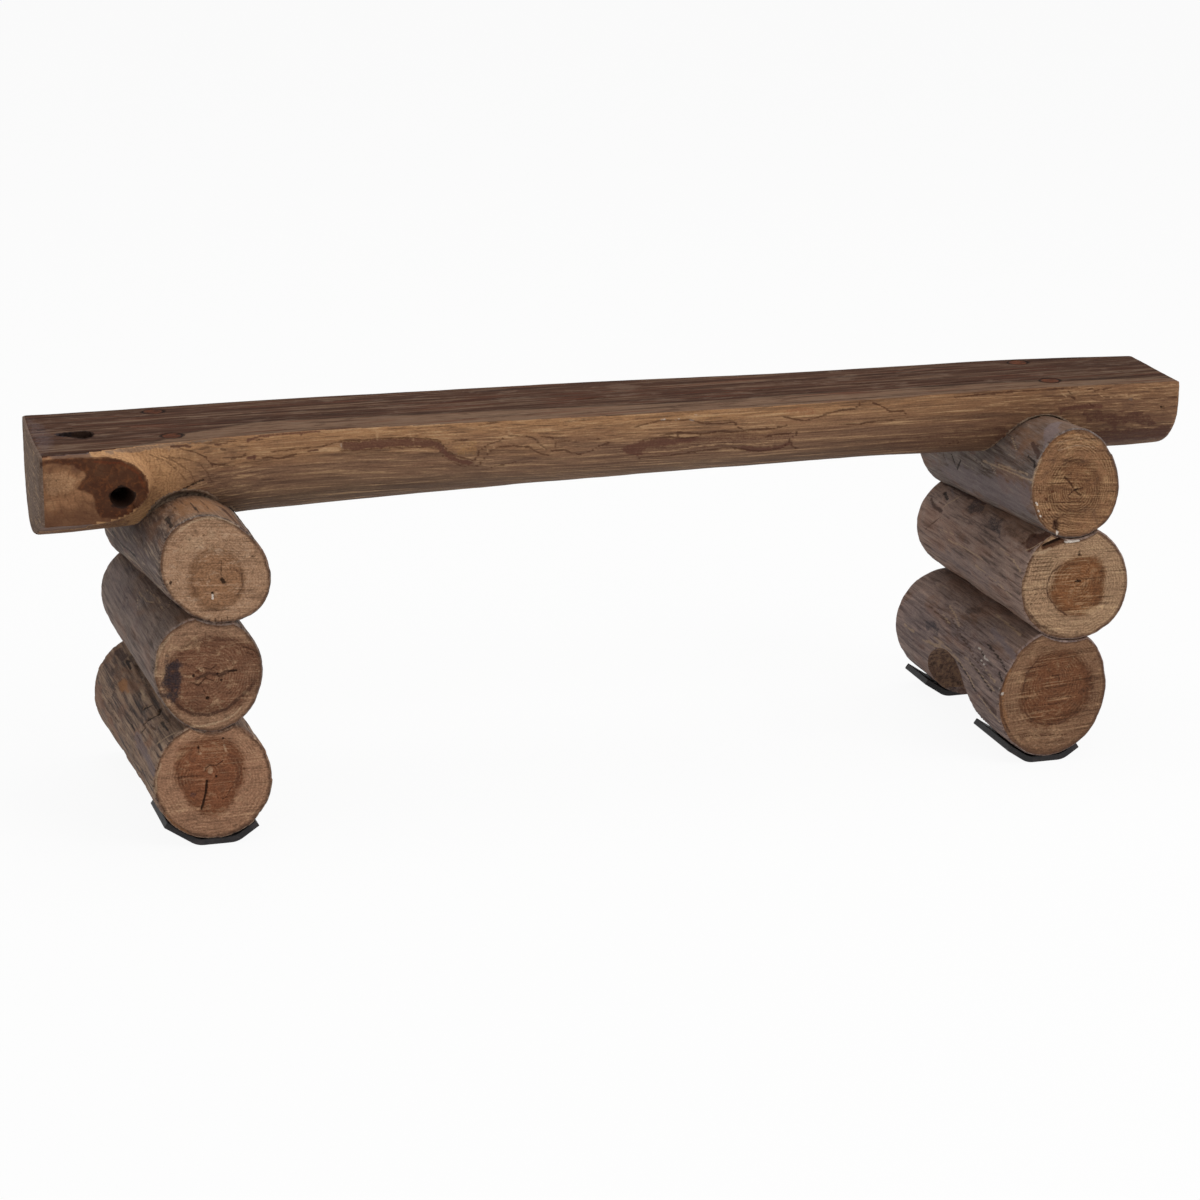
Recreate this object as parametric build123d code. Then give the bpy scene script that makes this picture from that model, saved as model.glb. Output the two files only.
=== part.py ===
from build123d import *
import os
from dataclasses import dataclass
from math import cos, pi, radians, sin

# Rustic log bench, in millimetres. X runs along the seat, Y from its front to its back, Z up.
# The origin is on the floor, under the middle of the bench.
#
# The seat is one crooked round beam with a flat sawn top. It lies across two stacks of three
# short logs. Each log is scooped on its crown, so that the round log above nests in it. The
# beam and the top logs are half-lapped: the log has a flat-bottomed saddle, and the beam's
# underside is coped to the round of the log. Two long threaded rods tie each stack to the
# beam, with a nut and a washer at both ends. The upper nuts are hidden under wooden plugs,
# the lower ones sit in pockets on the underside of the bottom log. The bottom logs are cut
# to an arch, and stand on bent rubber pads.

# ---- Seat beam ----
BENCH_LENGTH = 1406.0
BEAM_OVER_SADDLE = 91.3  # timber left between the sawn top and the saddle of the left stack
LEFT_END_SKEW = 2.9  # degrees by which the left end is sawn off square, seen from above
TOP_EDGE_ROUND = 2.5  # eased long edges of the sawn top
END_EDGE_BREAK = 2.5  # eased edges of every sawn log end

# ---- Branch stub, sawn flat, at the left of the beam's front ----
STUB_FROM_END = 60.0  # its middle, from the beam's left end
STUB_BELOW_TOP = 43.5
STUB_FACE_Y = -82.0  # the sawn face
STUB_ROOT_Y = -30.0  # where the swelling starts, inside the beam
STUB_FACE_WIDTH = 130.0
STUB_FACE_HEIGHT = 80.0
STUB_SWELL = 16.0  # how much further the root of the swelling reaches, all round
HOLLOW_FROM_END = 93.0  # rotted heart of the branch
HOLLOW_BELOW_TOP = 54.0
HOLLOW_WIDTH = 28.0
HOLLOW_HEIGHT = 23.0
HOLLOW_DEPTH = 42.0

# ---- Knot crack in the sawn top, near the left end ----
CRACK_FROM_END = 36.0  # its narrow tip
CRACK_LENGTH = 43.0
CRACK_Y = 20.0
CRACK_TURN = -17.0  # degrees
CRACK_WIDTH = 15.0
CRACK_TIP_WIDTH = 4.0
CRACK_DEPTH = 16.0

# ---- Stacks of logs ----
LEFT_STACK_INSET = 170.0  # from the beam's end to the line that the stack is set out on
RIGHT_STACK_INSET = 178.0
LEFT_LOG_LENGTH = 361.0
RIGHT_LOG_LENGTH = 353.0
LEFT_SADDLE_DEPTH = 16.0  # below the log's crown, at the middle of the beam
RIGHT_SADDLE_DEPTH = 21.0
SCOOP_GAP = 0.25  # between a round log and the scoop or cope that it lies in
FLARE_WIDTH = 9.0  # the cope's eased mouth, on both faces of the beam
FLARE_DEPTH = 20.0

# ---- Foot arches, cut through the bottom logs along X ----
LEFT_ARCH_Y = -12.0
LEFT_ARCH_SPAN = 140.0
LEFT_ARCH_TOP = 45.0
RIGHT_ARCH_Y = -3.0
RIGHT_ARCH_SPAN = 158.0
RIGHT_ARCH_TOP = 97.0
ARCH_SPRING = 20.0  # height at which the straight jambs end and the curve begins

# ---- Rubber foot pads ----
PAD_THICKNESS = 8.0
PAD_FLAT = 45.0  # the strip's flat middle, on the floor
PAD_BEND = 34.0  # degrees that its wings are bent up
PAD_BEND_RADIUS = 22.0  # of the strip's middle layer
PAD_GAP = 0.25  # to the round of the log
PAD_END_INSET = 5.0  # from the end of the log

# ---- Rods, nuts, washers and plugs ----
ROD_DIAMETER = 12.0
ROD_HOLE_DIAMETER = 13.5
ROD_STUB = 3.0  # thread left standing past each nut
NUT_ACROSS_FLATS = 19.0
NUT_HEIGHT = 10.0
THREAD_FIT = 0.05  # between the rod and the bores of its nuts, on the radius
WASHER_DIAMETER = 24.0
WASHER_THICKNESS = 2.5
WASHER_BORE_DIAMETER = 13.0
PLUG_DIAMETER = 25.0
PLUG_HEIGHT = 14.0
PLUG_FIT = 0.15  # glue line round the plug, on the radius
PLUG_SINK = 0.1  # below the sawn top
PLUG_TAPER = 0.4  # the plug's foot is smaller by this, on the radius
COUNTERBORE_DEPTH = 36.0
POCKET_DIAMETER = 30.0
LEFT_POCKET_TOP = 62.0  # height of the lower washers' seat
RIGHT_POCKET_TOP = 97.0
LEFT_ROD_SHIFT = -8.0  # of the rods, from the stack's line
LEFT_ROD_Y = 35.0  # half-way between the two rods
LEFT_ROD_SPREAD = 120.0
RIGHT_ROD_SHIFT = 23.0
RIGHT_ROD_Y = 4.5
RIGHT_ROD_SPREAD = 101.0

SECTION_POINTS = 12
FAR = 3.0 * BENCH_LENGTH  # larger than anything that is cut


@dataclass(frozen=True)
class Station:
    """The round of the beam at one place along it, before the top is sawn flat."""

    along: float  # from -1 at the left end to 1 at the right
    middle_y: float
    heart_drop: float  # of its centre, below the sawn top
    radius: float


BEAM = (
    Station(-1.00, 20.0, 16.0, 100.0),
    Station(-0.84, 27.0, 23.0, 93.0),
    Station(-0.65, 36.5, 25.5, 86.5),
    Station(-0.35, 29.0, 19.0, 84.0),
    Station(0.00, 15.5, 10.0, 86.0),
    Station(0.35, 2.5, 11.0, 79.5),
    Station(0.72, -0.5, 16.5, 78.5),
    Station(0.88, -9.5, 19.0, 77.5),
    Station(1.00, -19.5, 20.0, 73.5),
)


@dataclass(frozen=True)
class LogEnd:
    """The section at one end of a log: an oval, with its crown to one side or narrowed."""

    shift: float  # of its centre, from the stack's line
    half_width: float
    half_height: float
    nest: float = 0.0  # how deep the log sits in the one below
    egg: float = 0.0  # share by which the crown is narrower than the middle
    lean: float = 0.0  # how far the crown stands to the right


@dataclass(frozen=True)
class Pad:
    """One rubber foot pad: a strip whose two ends are bent up as wings."""

    shift: float  # of its flat middle, from the stack's line
    length: float  # along the log
    wings: tuple  # lengths of the wings towards -X and towards +X


@dataclass(frozen=True)
class Log:
    """One log of a stack, straight and tapering from one end section to the other."""

    name: str
    front: LogEnd
    back: LogEnd


LEFT_LOGS = (
    Log(
        "left_bottom_log",
        LogEnd(0.5, 69.0, 71.5, lean=-1.5),
        LogEnd(-5.0, 71.0, 72.0),
    ),
    Log(
        "left_middle_log",
        LogEnd(-1.5, 64.0, 69.0, nest=12.5, egg=-0.08, lean=-5.5),
        LogEnd(-2.0, 62.5, 62.0, nest=9.0),
    ),
    Log(
        "left_top_log",
        LogEnd(8.5, 62.5, 65.0, nest=10.0, egg=0.05, lean=-12.5),
        LogEnd(21.0, 76.0, 60.0, nest=27.0, egg=0.2),
    ),
)
RIGHT_LOGS = (
    Log(
        "right_bottom_log",
        LogEnd(-13.5, 71.5, 82.0, egg=0.02, lean=5.0),
        LogEnd(-10.0, 74.0, 72.0),
    ),
    Log(
        "right_middle_log",
        LogEnd(8.5, 71.5, 73.0, nest=17.0, egg=0.05, lean=-2.0),
        LogEnd(13.0, 71.0, 65.5, nest=3.0),
    ),
    Log(
        "right_top_log",
        LogEnd(4.0, 58.0, 69.5, nest=17.0, egg=0.09, lean=-3.0),
        LogEnd(7.0, 65.0, 64.0, nest=21.0),
    ),
)
LEFT_PADS = (Pad(5.0, 88.0, (45.0, 30.0)), Pad(1.0, 80.0, (34.0, 34.0)))
RIGHT_PADS = (Pad(-18.0, 112.0, (31.0, 24.0)), Pad(-18.0, 72.0, (33.0, 28.0)))


def blend(a, b, share):
    """The value at a share of the way from a to b."""
    return a + (b - a) * share


def block(low, high):
    """A box from its lowest corner to its highest."""
    size = [h - l for l, h in zip(low, high)]
    return Pos(*low) * Box(*size, align=(Align.MIN, Align.MIN, Align.MIN))


def upright(x, y, bottom, top, radius):
    """A round bar that stands between two heights."""
    return Pos(x, y, bottom) * Cylinder(radius, top - bottom, align=(Align.CENTER, Align.CENTER, Align.MIN))


@dataclass(frozen=True)
class Stack:
    """Three logs on top of each other, with the places that the other pieces need."""

    name: str
    line_x: float
    length: float
    logs: tuple
    arch: tuple  # middle, span and top
    pocket_top: float
    rod_x: float
    rod_ys: tuple
    pads: tuple  # the front one and the back one

    def heights(self, index):
        """Heights of a log's centre, at its front end and its back end."""
        front = back = PAD_THICKNESS
        for i in range(index + 1):
            log = self.logs[i]
            front += log.front.half_height - log.front.nest
            back += log.back.half_height - log.back.nest
            if i < index:
                front += log.front.half_height
                back += log.back.half_height
        return front, back

    def section(self, index, y, grow):
        """Closed outline of a log at one place along it, grown by a given amount."""
        share = (y + self.length / 2) / self.length
        log = self.logs[index]
        a, b = log.front, log.back
        x = self.line_x + blend(a.shift, b.shift, share)
        z = blend(*self.heights(index), share)
        wide = blend(a.half_width, b.half_width, share) + grow
        high = blend(a.half_height, b.half_height, share) + grow
        egg = blend(a.egg, b.egg, share)
        lean = blend(a.lean, b.lean, share)
        points = []
        for i in range(SECTION_POINTS):
            t = 2 * pi * i / SECTION_POINTS
            across = wide * cos(t) * (1 - egg * sin(t)) + lean * sin(t)
            points.append((x + across, y, z + high * sin(t)))
        return Face(Wire([Edge.make_spline([Vector(*p) for p in points], periodic=True)]))

    def log_blank(self, index, grow=0.0, past=0.0):
        """A log before it is notched, grown all round and run past its ends by given amounts."""
        ends = (-self.length / 2 - past, self.length / 2 + past)
        return loft([self.section(index, y, grow) for y in ends], ruled=True)

    def eased_log(self, index):
        """A log before it is notched, with the edges of its sawn ends eased."""
        blank = self.log_blank(index)
        rims = [e for e in blank.edges() if abs(e.bounding_box().size.Y) < 0.01]
        return chamfer(rims, END_EDGE_BREAK)

    def crown(self, index, y):
        """Height of a log's crown at one place along it."""
        share = (y + self.length / 2) / self.length
        log = self.logs[index]
        high = blend(log.front.half_height, log.back.half_height, share)
        return blend(*self.heights(index), share) + high

    def cope_mouth(self, index, face_y, outwards):
        """The eased mouth of the beam's cope: the log's outline, wider at the beam's face."""
        near = face_y + outwards * FLARE_DEPTH / 2
        far = face_y - outwards * FLARE_DEPTH / 2
        wide = self.section(index, near, FLARE_WIDTH)
        return loft([wide, self.section(index, far, SCOOP_GAP)], ruled=True)


LEFT_X = LEFT_STACK_INSET - BENCH_LENGTH / 2
RIGHT_X = BENCH_LENGTH / 2 - RIGHT_STACK_INSET
LEFT = Stack(
    name="left",
    line_x=LEFT_X,
    length=LEFT_LOG_LENGTH,
    logs=LEFT_LOGS,
    arch=(LEFT_ARCH_Y, LEFT_ARCH_SPAN, LEFT_ARCH_TOP),
    pocket_top=LEFT_POCKET_TOP,
    rod_x=LEFT_X + LEFT_ROD_SHIFT,
    rod_ys=(LEFT_ROD_Y - LEFT_ROD_SPREAD / 2, LEFT_ROD_Y + LEFT_ROD_SPREAD / 2),
    pads=LEFT_PADS,
)
RIGHT = Stack(
    name="right",
    line_x=RIGHT_X,
    length=RIGHT_LOG_LENGTH,
    logs=RIGHT_LOGS,
    arch=(RIGHT_ARCH_Y, RIGHT_ARCH_SPAN, RIGHT_ARCH_TOP),
    pocket_top=RIGHT_POCKET_TOP,
    rod_x=RIGHT_X + RIGHT_ROD_SHIFT,
    rod_ys=(RIGHT_ROD_Y - RIGHT_ROD_SPREAD / 2, RIGHT_ROD_Y + RIGHT_ROD_SPREAD / 2),
    pads=RIGHT_PADS,
)
STACKS = (LEFT, RIGHT)
TOP = len(LEFT_LOGS) - 1

LEFT_SADDLE = LEFT.crown(TOP, LEFT_ROD_Y) - LEFT_SADDLE_DEPTH
RIGHT_SADDLE = RIGHT.crown(TOP, RIGHT_ROD_Y) - RIGHT_SADDLE_DEPTH
SADDLES = {"left": LEFT_SADDLE, "right": RIGHT_SADDLE}
SEAT_TOP = LEFT_SADDLE + BEAM_OVER_SADDLE
COUNTERBORE_FLOOR = SEAT_TOP - COUNTERBORE_DEPTH


# ---- Seat beam ----


def beam_round(grow=0.0):
    """The crooked round of the beam before anything is sawn, grown by a given amount."""
    rings = []
    for s in BEAM:
        centre = (s.along * (BENCH_LENGTH / 2 + 1), s.middle_y, SEAT_TOP - s.heart_drop)
        plane = Plane(origin=centre, x_dir=(0, 1, 0), z_dir=(1, 0, 0))
        rings.append(plane * Circle(s.radius + grow))
    return loft(rings)


def beam_face_y(x, height, outwards):
    """Where the side of the beam stands at one place along it and one height."""
    share = 2 * x / BENCH_LENGTH
    for a, b in zip(BEAM, BEAM[1:]):
        if a.along <= share <= b.along:
            part = (share - a.along) / (b.along - a.along)
            radius = blend(a.radius, b.radius, part)
            rise = height - SEAT_TOP + blend(a.heart_drop, b.heart_drop, part)
            return blend(a.middle_y, b.middle_y, part) + outwards * (radius**2 - rise**2) ** 0.5
    raise ValueError("no beam there")


def branch_stub(grow=0.0):
    """The swelling of a branch, sawn off flat, grown by a given amount."""
    x = STUB_FROM_END - BENCH_LENGTH / 2
    z = SEAT_TOP - STUB_BELOW_TOP
    rings = []
    for y, swell in ((STUB_FACE_Y - grow, grow), (STUB_ROOT_Y, STUB_SWELL + grow)):
        plane = Plane(origin=(x, y, z), x_dir=(1, 0, 0), z_dir=(0, -1, 0))
        rings.append(plane * Ellipse(STUB_FACE_WIDTH / 2 + swell, STUB_FACE_HEIGHT / 2 + swell))
    return loft(rings, ruled=True)


def branch_hollow():
    """The rotted heart of the branch, a tapering hole."""
    x = HOLLOW_FROM_END - BENCH_LENGTH / 2
    z = SEAT_TOP - HOLLOW_BELOW_TOP
    rings = []
    for depth, share in ((-2.0, 1.04), (HOLLOW_DEPTH, 0.45)):
        plane = Plane(origin=(x, STUB_FACE_Y + depth, z), x_dir=(1, 0, 0), z_dir=(0, -1, 0))
        rings.append(plane * Ellipse(share * HOLLOW_WIDTH / 2, share * HOLLOW_HEIGHT / 2))
    return loft(rings, ruled=True)


def knot_crack():
    """A tapering crack in the sawn top, open upwards."""
    tip = CRACK_TIP_WIDTH / 2
    mouth = CRACK_WIDTH / 2
    outline = make_hull(Circle(tip).edges() + (Pos(CRACK_LENGTH - tip - mouth, 0) * Circle(mouth)).edges())
    place = Pos(CRACK_FROM_END - BENCH_LENGTH / 2, CRACK_Y, SEAT_TOP - CRACK_DEPTH)
    return place * Rot(0, 0, CRACK_TURN) * extrude(outline, 2 * CRACK_DEPTH)


def sawn_ends():
    """The two blocks that the saw takes off past the ends of the beam, the left one askew."""
    half = BENCH_LENGTH / 2
    right = block((half, -FAR, -FAR), (half + FAR, FAR, FAR))
    left = Pos(-half, STUB_FACE_Y, 0) * Rot(0, 0, -LEFT_END_SKEW) * block((-FAR, -FAR, -FAR), (0, FAR, FAR))
    return left, right


def seat_beam():
    """The seat: sawn, coped over both top logs, bored for the rods and their plugs."""
    sawn_away = [block((-FAR, -FAR, SEAT_TOP), (FAR, FAR, FAR)), *sawn_ends()]
    beam = beam_round() - sawn_away
    long_edges = [
        e
        for e in beam.edges()
        if e.bounding_box().min.Z > SEAT_TOP - 0.01 and e.bounding_box().size.X > BENCH_LENGTH / 2
    ]
    beam = fillet(long_edges, TOP_EDGE_ROUND)
    beam += branch_stub() - sawn_away
    for stack in STACKS:
        saddle = SADDLES[stack.name]
        below = block((-FAR, -FAR, -FAR), (FAR, FAR, saddle))
        beam -= stack.log_blank(TOP, SCOOP_GAP, past=SCOOP_GAP) & below
        for outwards in (-1, 1):
            crown = stack.crown(TOP, 0)
            face_y = beam_face_y(stack.line_x, crown, outwards)
            beam -= stack.cope_mouth(TOP, face_y, outwards)
        for y in stack.rod_ys:
            beam -= upright(stack.rod_x, y, 0, SEAT_TOP, ROD_HOLE_DIAMETER / 2)
            beam -= upright(stack.rod_x, y, COUNTERBORE_FLOOR, FAR, PLUG_DIAMETER / 2 + PLUG_FIT)
    beam -= branch_hollow()
    beam -= knot_crack()
    return beam


# ---- Logs ----


def foot_arch(stack):
    """The arch under a bottom log: straight jambs with half an ellipse on them, cut along X."""
    middle, span, top = stack.arch
    plane = Plane(origin=(0, middle, ARCH_SPRING), x_dir=(0, 1, 0), z_dir=(1, 0, 0))
    curve = extrude(plane * Ellipse(span / 2, top - ARCH_SPRING), FAR, both=True)
    jambs = block((-FAR, middle - span / 2, -FAR), (FAR, middle + span / 2, ARCH_SPRING))
    return curve + jambs


def stack_log(stack, index):
    """A log, scooped for the one above or saddled for the beam, and bored for the rods."""
    log = stack.eased_log(index)
    if index < TOP:
        log -= stack.log_blank(index + 1, SCOOP_GAP, past=SCOOP_GAP)
    else:
        above = block((-FAR, -FAR, SADDLES[stack.name]), (FAR, FAR, FAR))
        log -= beam_round(SCOOP_GAP) & above
        log -= branch_stub(SCOOP_GAP) & above
    for y in stack.rod_ys:
        log -= upright(stack.rod_x, y, 0, SEAT_TOP, ROD_HOLE_DIAMETER / 2)
        if index == 0:
            log -= upright(stack.rod_x, y, 0, stack.pocket_top, POCKET_DIAMETER / 2)
    if index == 0:
        log -= foot_arch(stack)
    return log


# ---- Rubber pads ----


def pad_outline(pad):
    """The bent strip seen from its end: a flat middle and two wings, of one thickness."""
    bend = radians(PAD_BEND)
    layer = PAD_THICKNESS / 2
    corner = PAD_FLAT / 2
    line = []
    for side, wing in zip((-1, 1), pad.wings):
        foot = (side * corner, layer)
        tip = (side * (corner + wing * cos(bend)), layer + wing * sin(bend))
        line.append((tip, foot))
    (left_tip, left_foot), (right_tip, right_foot) = line
    middle = FilletPolyline(left_tip, left_foot, right_foot, right_tip, radius=PAD_BEND_RADIUS)
    return trace(middle, PAD_THICKNESS)


def foot_pad(stack, at_back):
    """A bent rubber pad, shaped to the underside of the bottom log that stands on it."""
    pad = stack.pads[at_back]
    end = stack.length / 2 - PAD_END_INSET
    start = end if at_back else pad.length - end
    place = Plane(origin=(stack.line_x + pad.shift, start, 0), x_dir=(1, 0, 0), z_dir=(0, -1, 0))
    strip = extrude(place * pad_outline(pad), pad.length)
    return strip - stack.log_blank(0, PAD_GAP, past=PAD_GAP)


# ---- Rods, nuts, washers and plugs ----


def rod_ends(stack):
    """Heights of a rod's lower and upper end."""
    reach = WASHER_THICKNESS + NUT_HEIGHT + ROD_STUB
    return stack.pocket_top - reach, COUNTERBORE_FLOOR + reach


def rod(stack, y):
    """A long threaded rod, down through the beam and the three logs."""
    bottom, top = rod_ends(stack)
    return upright(stack.rod_x, y, bottom, top, ROD_DIAMETER / 2)


def nut(x, y, bottom):
    """A hexagon nut."""
    hexagon = RegularPolygon(NUT_ACROSS_FLATS / 2, 6, major_radius=False)
    body = Pos(x, y, bottom) * extrude(hexagon, NUT_HEIGHT)
    return body - upright(x, y, bottom, bottom + NUT_HEIGHT, ROD_DIAMETER / 2 + THREAD_FIT)


def washer(x, y, bottom):
    """A flat washer."""
    top = bottom + WASHER_THICKNESS
    disc = upright(x, y, bottom, top, WASHER_DIAMETER / 2)
    return disc - upright(x, y, bottom, top, WASHER_BORE_DIAMETER / 2)


def rod_places():
    """The stack and the place of each rod."""
    return [(stack, stack.rod_x, y) for stack in STACKS for y in stack.rod_ys]


def upper_washer(stack, x, y):
    return washer(x, y, COUNTERBORE_FLOOR)


def upper_nut(stack, x, y):
    return nut(x, y, COUNTERBORE_FLOOR + WASHER_THICKNESS)


def lower_washer(stack, x, y):
    return washer(x, y, stack.pocket_top - WASHER_THICKNESS)


def lower_nut(stack, x, y):
    return nut(x, y, stack.pocket_top - WASHER_THICKNESS - NUT_HEIGHT)


def plug(stack, y):
    """A wooden plug over the upper nut, a little smaller at its foot."""
    top = SEAT_TOP - PLUG_SINK
    body = Cone(
        PLUG_DIAMETER / 2 - PLUG_TAPER,
        PLUG_DIAMETER / 2,
        PLUG_HEIGHT,
        align=(Align.CENTER, Align.CENTER, Align.MAX),
    )
    return Pos(stack.rod_x, y, top) * body


# ---- Nodes ----


def nodes():
    """Every piece of the bench by its name."""
    made = {"seat_beam": seat_beam()}
    for stack in STACKS:
        for index, log in enumerate(stack.logs):
            made[log.name] = stack_log(stack, index)
        for at_back, place in enumerate(("front", "back")):
            y = stack.rod_ys[at_back]
            made[f"{stack.name}_{place}_foot_pad"] = foot_pad(stack, at_back)
            made[f"{stack.name}_{place}_rod"] = rod(stack, y)
            made[f"{stack.name}_{place}_plug"] = plug(stack, y)
    for name, make in (
        ("upper_washers", upper_washer),
        ("upper_nuts", upper_nut),
        ("lower_washers", lower_washer),
        ("lower_nuts", lower_nut),
    ):
        made[name] = Compound([make(*place).solid() for place in rod_places()])
    return made


os.makedirs("parts", exist_ok=True)
for node, shape in nodes().items():
    export_step(shape, f"parts/{node}.step")
    print(node, round(shape.volume), "mm3")
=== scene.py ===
"""The looks of a rustic log bench: a crooked sawn beam on two stacks of scooped logs.

Everything is worked out in millimetres and turned to metres as it goes into a mesh. X runs along
the seat, Y from its front to its back and Z up, with the origin on the floor.
"""
import logging
from dataclasses import dataclass, field
from enum import Enum, IntEnum
from typing import Callable

import bpy
import numpy as np
from mathutils import Matrix


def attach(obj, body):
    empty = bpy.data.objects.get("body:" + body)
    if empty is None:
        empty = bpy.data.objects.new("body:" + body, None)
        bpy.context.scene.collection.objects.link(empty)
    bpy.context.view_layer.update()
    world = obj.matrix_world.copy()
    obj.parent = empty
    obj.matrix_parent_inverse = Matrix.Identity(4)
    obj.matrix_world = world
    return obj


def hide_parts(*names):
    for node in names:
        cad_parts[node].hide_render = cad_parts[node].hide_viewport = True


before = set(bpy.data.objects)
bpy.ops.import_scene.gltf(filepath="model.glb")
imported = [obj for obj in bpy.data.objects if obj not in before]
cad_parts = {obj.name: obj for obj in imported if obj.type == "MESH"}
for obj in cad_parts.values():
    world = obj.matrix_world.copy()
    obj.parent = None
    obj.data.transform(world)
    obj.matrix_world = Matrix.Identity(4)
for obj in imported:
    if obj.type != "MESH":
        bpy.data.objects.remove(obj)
log = logging.getLogger("bench")
Array = np.ndarray
MM = 0.001
TAU = 2 * np.pi
FAR = 1e4

# ---- Sizes of the bench, as in the part's source ----
BENCH_LENGTH = 1406.0
SEAT_TOP = 450.011
TOP_EDGE_ROUND = 3.0
LEFT_END_SKEW = np.tan(np.radians(2.9))
LEFT_END_WIDTH = 200.0  # from the stub's face to the back
SKEW_FADE = 70.0  # how far from the left end the rings turn square
END_BREAK = 2.5
LEFT_END_ROUND = 7.0
RIGHT_END_ROUND = 5.0
FRONT_SHARE = 0.55  # how much closer the beam's columns lie at its front
SCOOP_GAP = 0.25
ARCH_SPRING = 20.0
FLARE_WIDTH = 9.0
RIGHT_FLARE_WIDTH = 3.0
POCKET_RADIUS = 15.0
LEFT_POCKET_TOP = 62.0
RIGHT_POCKET_TOP = 97.0
FLARE_DEPTH = 20.0
PAD_THICKNESS = 8.0
PAD_FLAT = 45.0
PAD_BEND = np.radians(34.0)
PAD_BEND_RADIUS = 22.0
PAD_END_INSET = 5.0
PLUG_RADIUS = 12.5
PLUG_HEIGHT = 14.0
COUNTERBORE_DEPTH = 36.0
BORE_FIT = 0.15
STUB_X = -643.0
STUB_Z = SEAT_TOP - 43.5
STUB_FACE_Y = -82.0
STUB_ROOT_Y = -30.0
STUB_HALF = (65.0, 40.0)
STUB_SWELL = 16.0
HOLLOW_AT = (-610.0, SEAT_TOP - 54.0)
HOLLOW_HALF = (14.0, 11.5)
HOLLOW_DEPTH = 42.0
PLUG_HALO = (15.5, 13.0)  # where the stain round a plug ends, and where it is full
COPE_REACH = 37.0  # how far beside a top log its cope is looked for
COPE_LEAN = 12.0  # how far right of a stack's line its copes lie
STACK_DEGREE = 1.2  # millimetres round a stack log for one degree
BEAM_DEGREE = 1.47  # millimetres round the beam for one degree
SWIRL_ANGLE = 192.0  # where on the round the grain turns about the stub
SWIRL_DEGREE = 1.6
LOG_ROUND = 70.0  # plain radius on which a stack log's relief is worked out
BEAM_ROUND = 85.0  # the same for the beam
LIFT_HEIGHT = 85.0  # height of the band under the seat in which the beam's tone changes, partly painted light above and painted shade below
TOP_BAND = 1.2  # how far under the seat a point still counts as on the sawn top
STUB_WIDTH = 90.0  # from the stub's middle to the right end of its face
STUB_FOOT = 355.0  # lowest height of the stub's face
NEAR_CUT = 1.5  # how close to a cut a point that was moved to it lies
FLOOR_RING = 3  # last square ring of grid points in the floor of a bore
MOUTH_RING = 4
LIP_RING = 5


class Slot(Enum):
    """The record's material slots."""

    SEAT = "seat_timber"
    STACK = "stack_timber"
    PLUG = "plug_timber"
    ZINC = "zinc_steel"
    RUBBER = "pad_rubber"


class LogBand(IntEnum):
    """Which of a log's materials a band of its surface has."""

    FLANK = 0
    FRONT = 1
    BACK = 2
    CUT = 3


class BeamBand(IntEnum):
    """Which of the beam's materials a band of its surface has."""

    ROUND = 0
    TOP = 1
    STUB = 2
    COPE = 3
    END = 4


# ---- Small sums on whole arrays ----


def mix(a: Array | float, b: Array | float, share: Array | float) -> Array | float:
    """The value at a share of the way from a to b."""
    return a + (b - a) * share


def ease(low: float, high: float, value: Array) -> Array:
    """A smooth step: 0 below low, 1 above high, three t squared less two t cubed between."""
    t = np.clip((value - low) / (high - low), 0.0, 1.0)
    return t * t * (3 - 2 * t)


def soft_max(a: Array, b: Array, width: float) -> Array:
    """The greater of two heights, rounded over where they cross."""
    h = np.clip(0.5 + 0.5 * (a - b) / width, 0.0, 1.0)
    return mix(b, a, h) + width * h * (1 - h)


def soft_min(a: Array, b: Array, width: float) -> Array:
    """The lesser of two heights, rounded over where they cross."""
    return -soft_max(-np.asarray(a), -np.asarray(b), width)


def lattice(points: Array, seed: int) -> Array:
    """Smooth noise from -1 to 1: hashed values on a unit lattice, eased between its corners.

    Args:
        points: places, with x, y, z on the last axis, in lattice steps.
        seed: which noise.

    Returns:
        One value per place.
    """
    cell = np.floor(points).astype(np.int64)
    part = points - cell
    part = part * part * (3 - 2 * part)
    total = np.zeros(points.shape[:-1])
    for corner in np.ndindex(2, 2, 2):
        c = cell + np.array(corner)
        h = (c[..., 0] * 73856093) ^ (c[..., 1] * 19349663) ^ (c[..., 2] * 83492791) ^ (seed * 40503)
        h = ((h ^ (h >> 13)) * 1274126177) & 0x7FFFFFFF
        value = ((h ^ (h >> 15)) & 0xFFFF) / 32767.5 - 1
        total += value * np.prod(np.where(np.array(corner) == 1, part, 1 - part), axis=-1)
    return total


def fractal(points: Array, seed: int, octaves: int = 3) -> Array:
    """Noise with finer noise on it, each octave twice as fine and half as strong."""
    return sum(lattice(points * 2.0**i, seed + 17 * i) * 0.5**i for i in range(octaves))


def track_distance(u: Array, v: Array, track: tuple) -> Array:
    """Distance to a broken line: the least distance to the foot on each of its runs."""
    best = np.full(np.shape(u), FAR)
    for (u0, v0), (u1, v1) in zip(track, track[1:]):
        du, dv = u1 - u0, v1 - v0
        t = np.clip(((u - u0) * du + (v - v0) * dv) / max(du * du + dv * dv, 1e-9), 0.0, 1.0)
        best = np.minimum(best, np.hypot(u - u0 - t * du, v - v0 - t * dv))
    return best


def left_skew(y: Array) -> Array:
    """How far the left end's saw cut lies from square: as the square of the way to its back."""
    return LEFT_END_SKEW * (y - STUB_FACE_Y) ** 2 / LEFT_END_WIDTH


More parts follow.
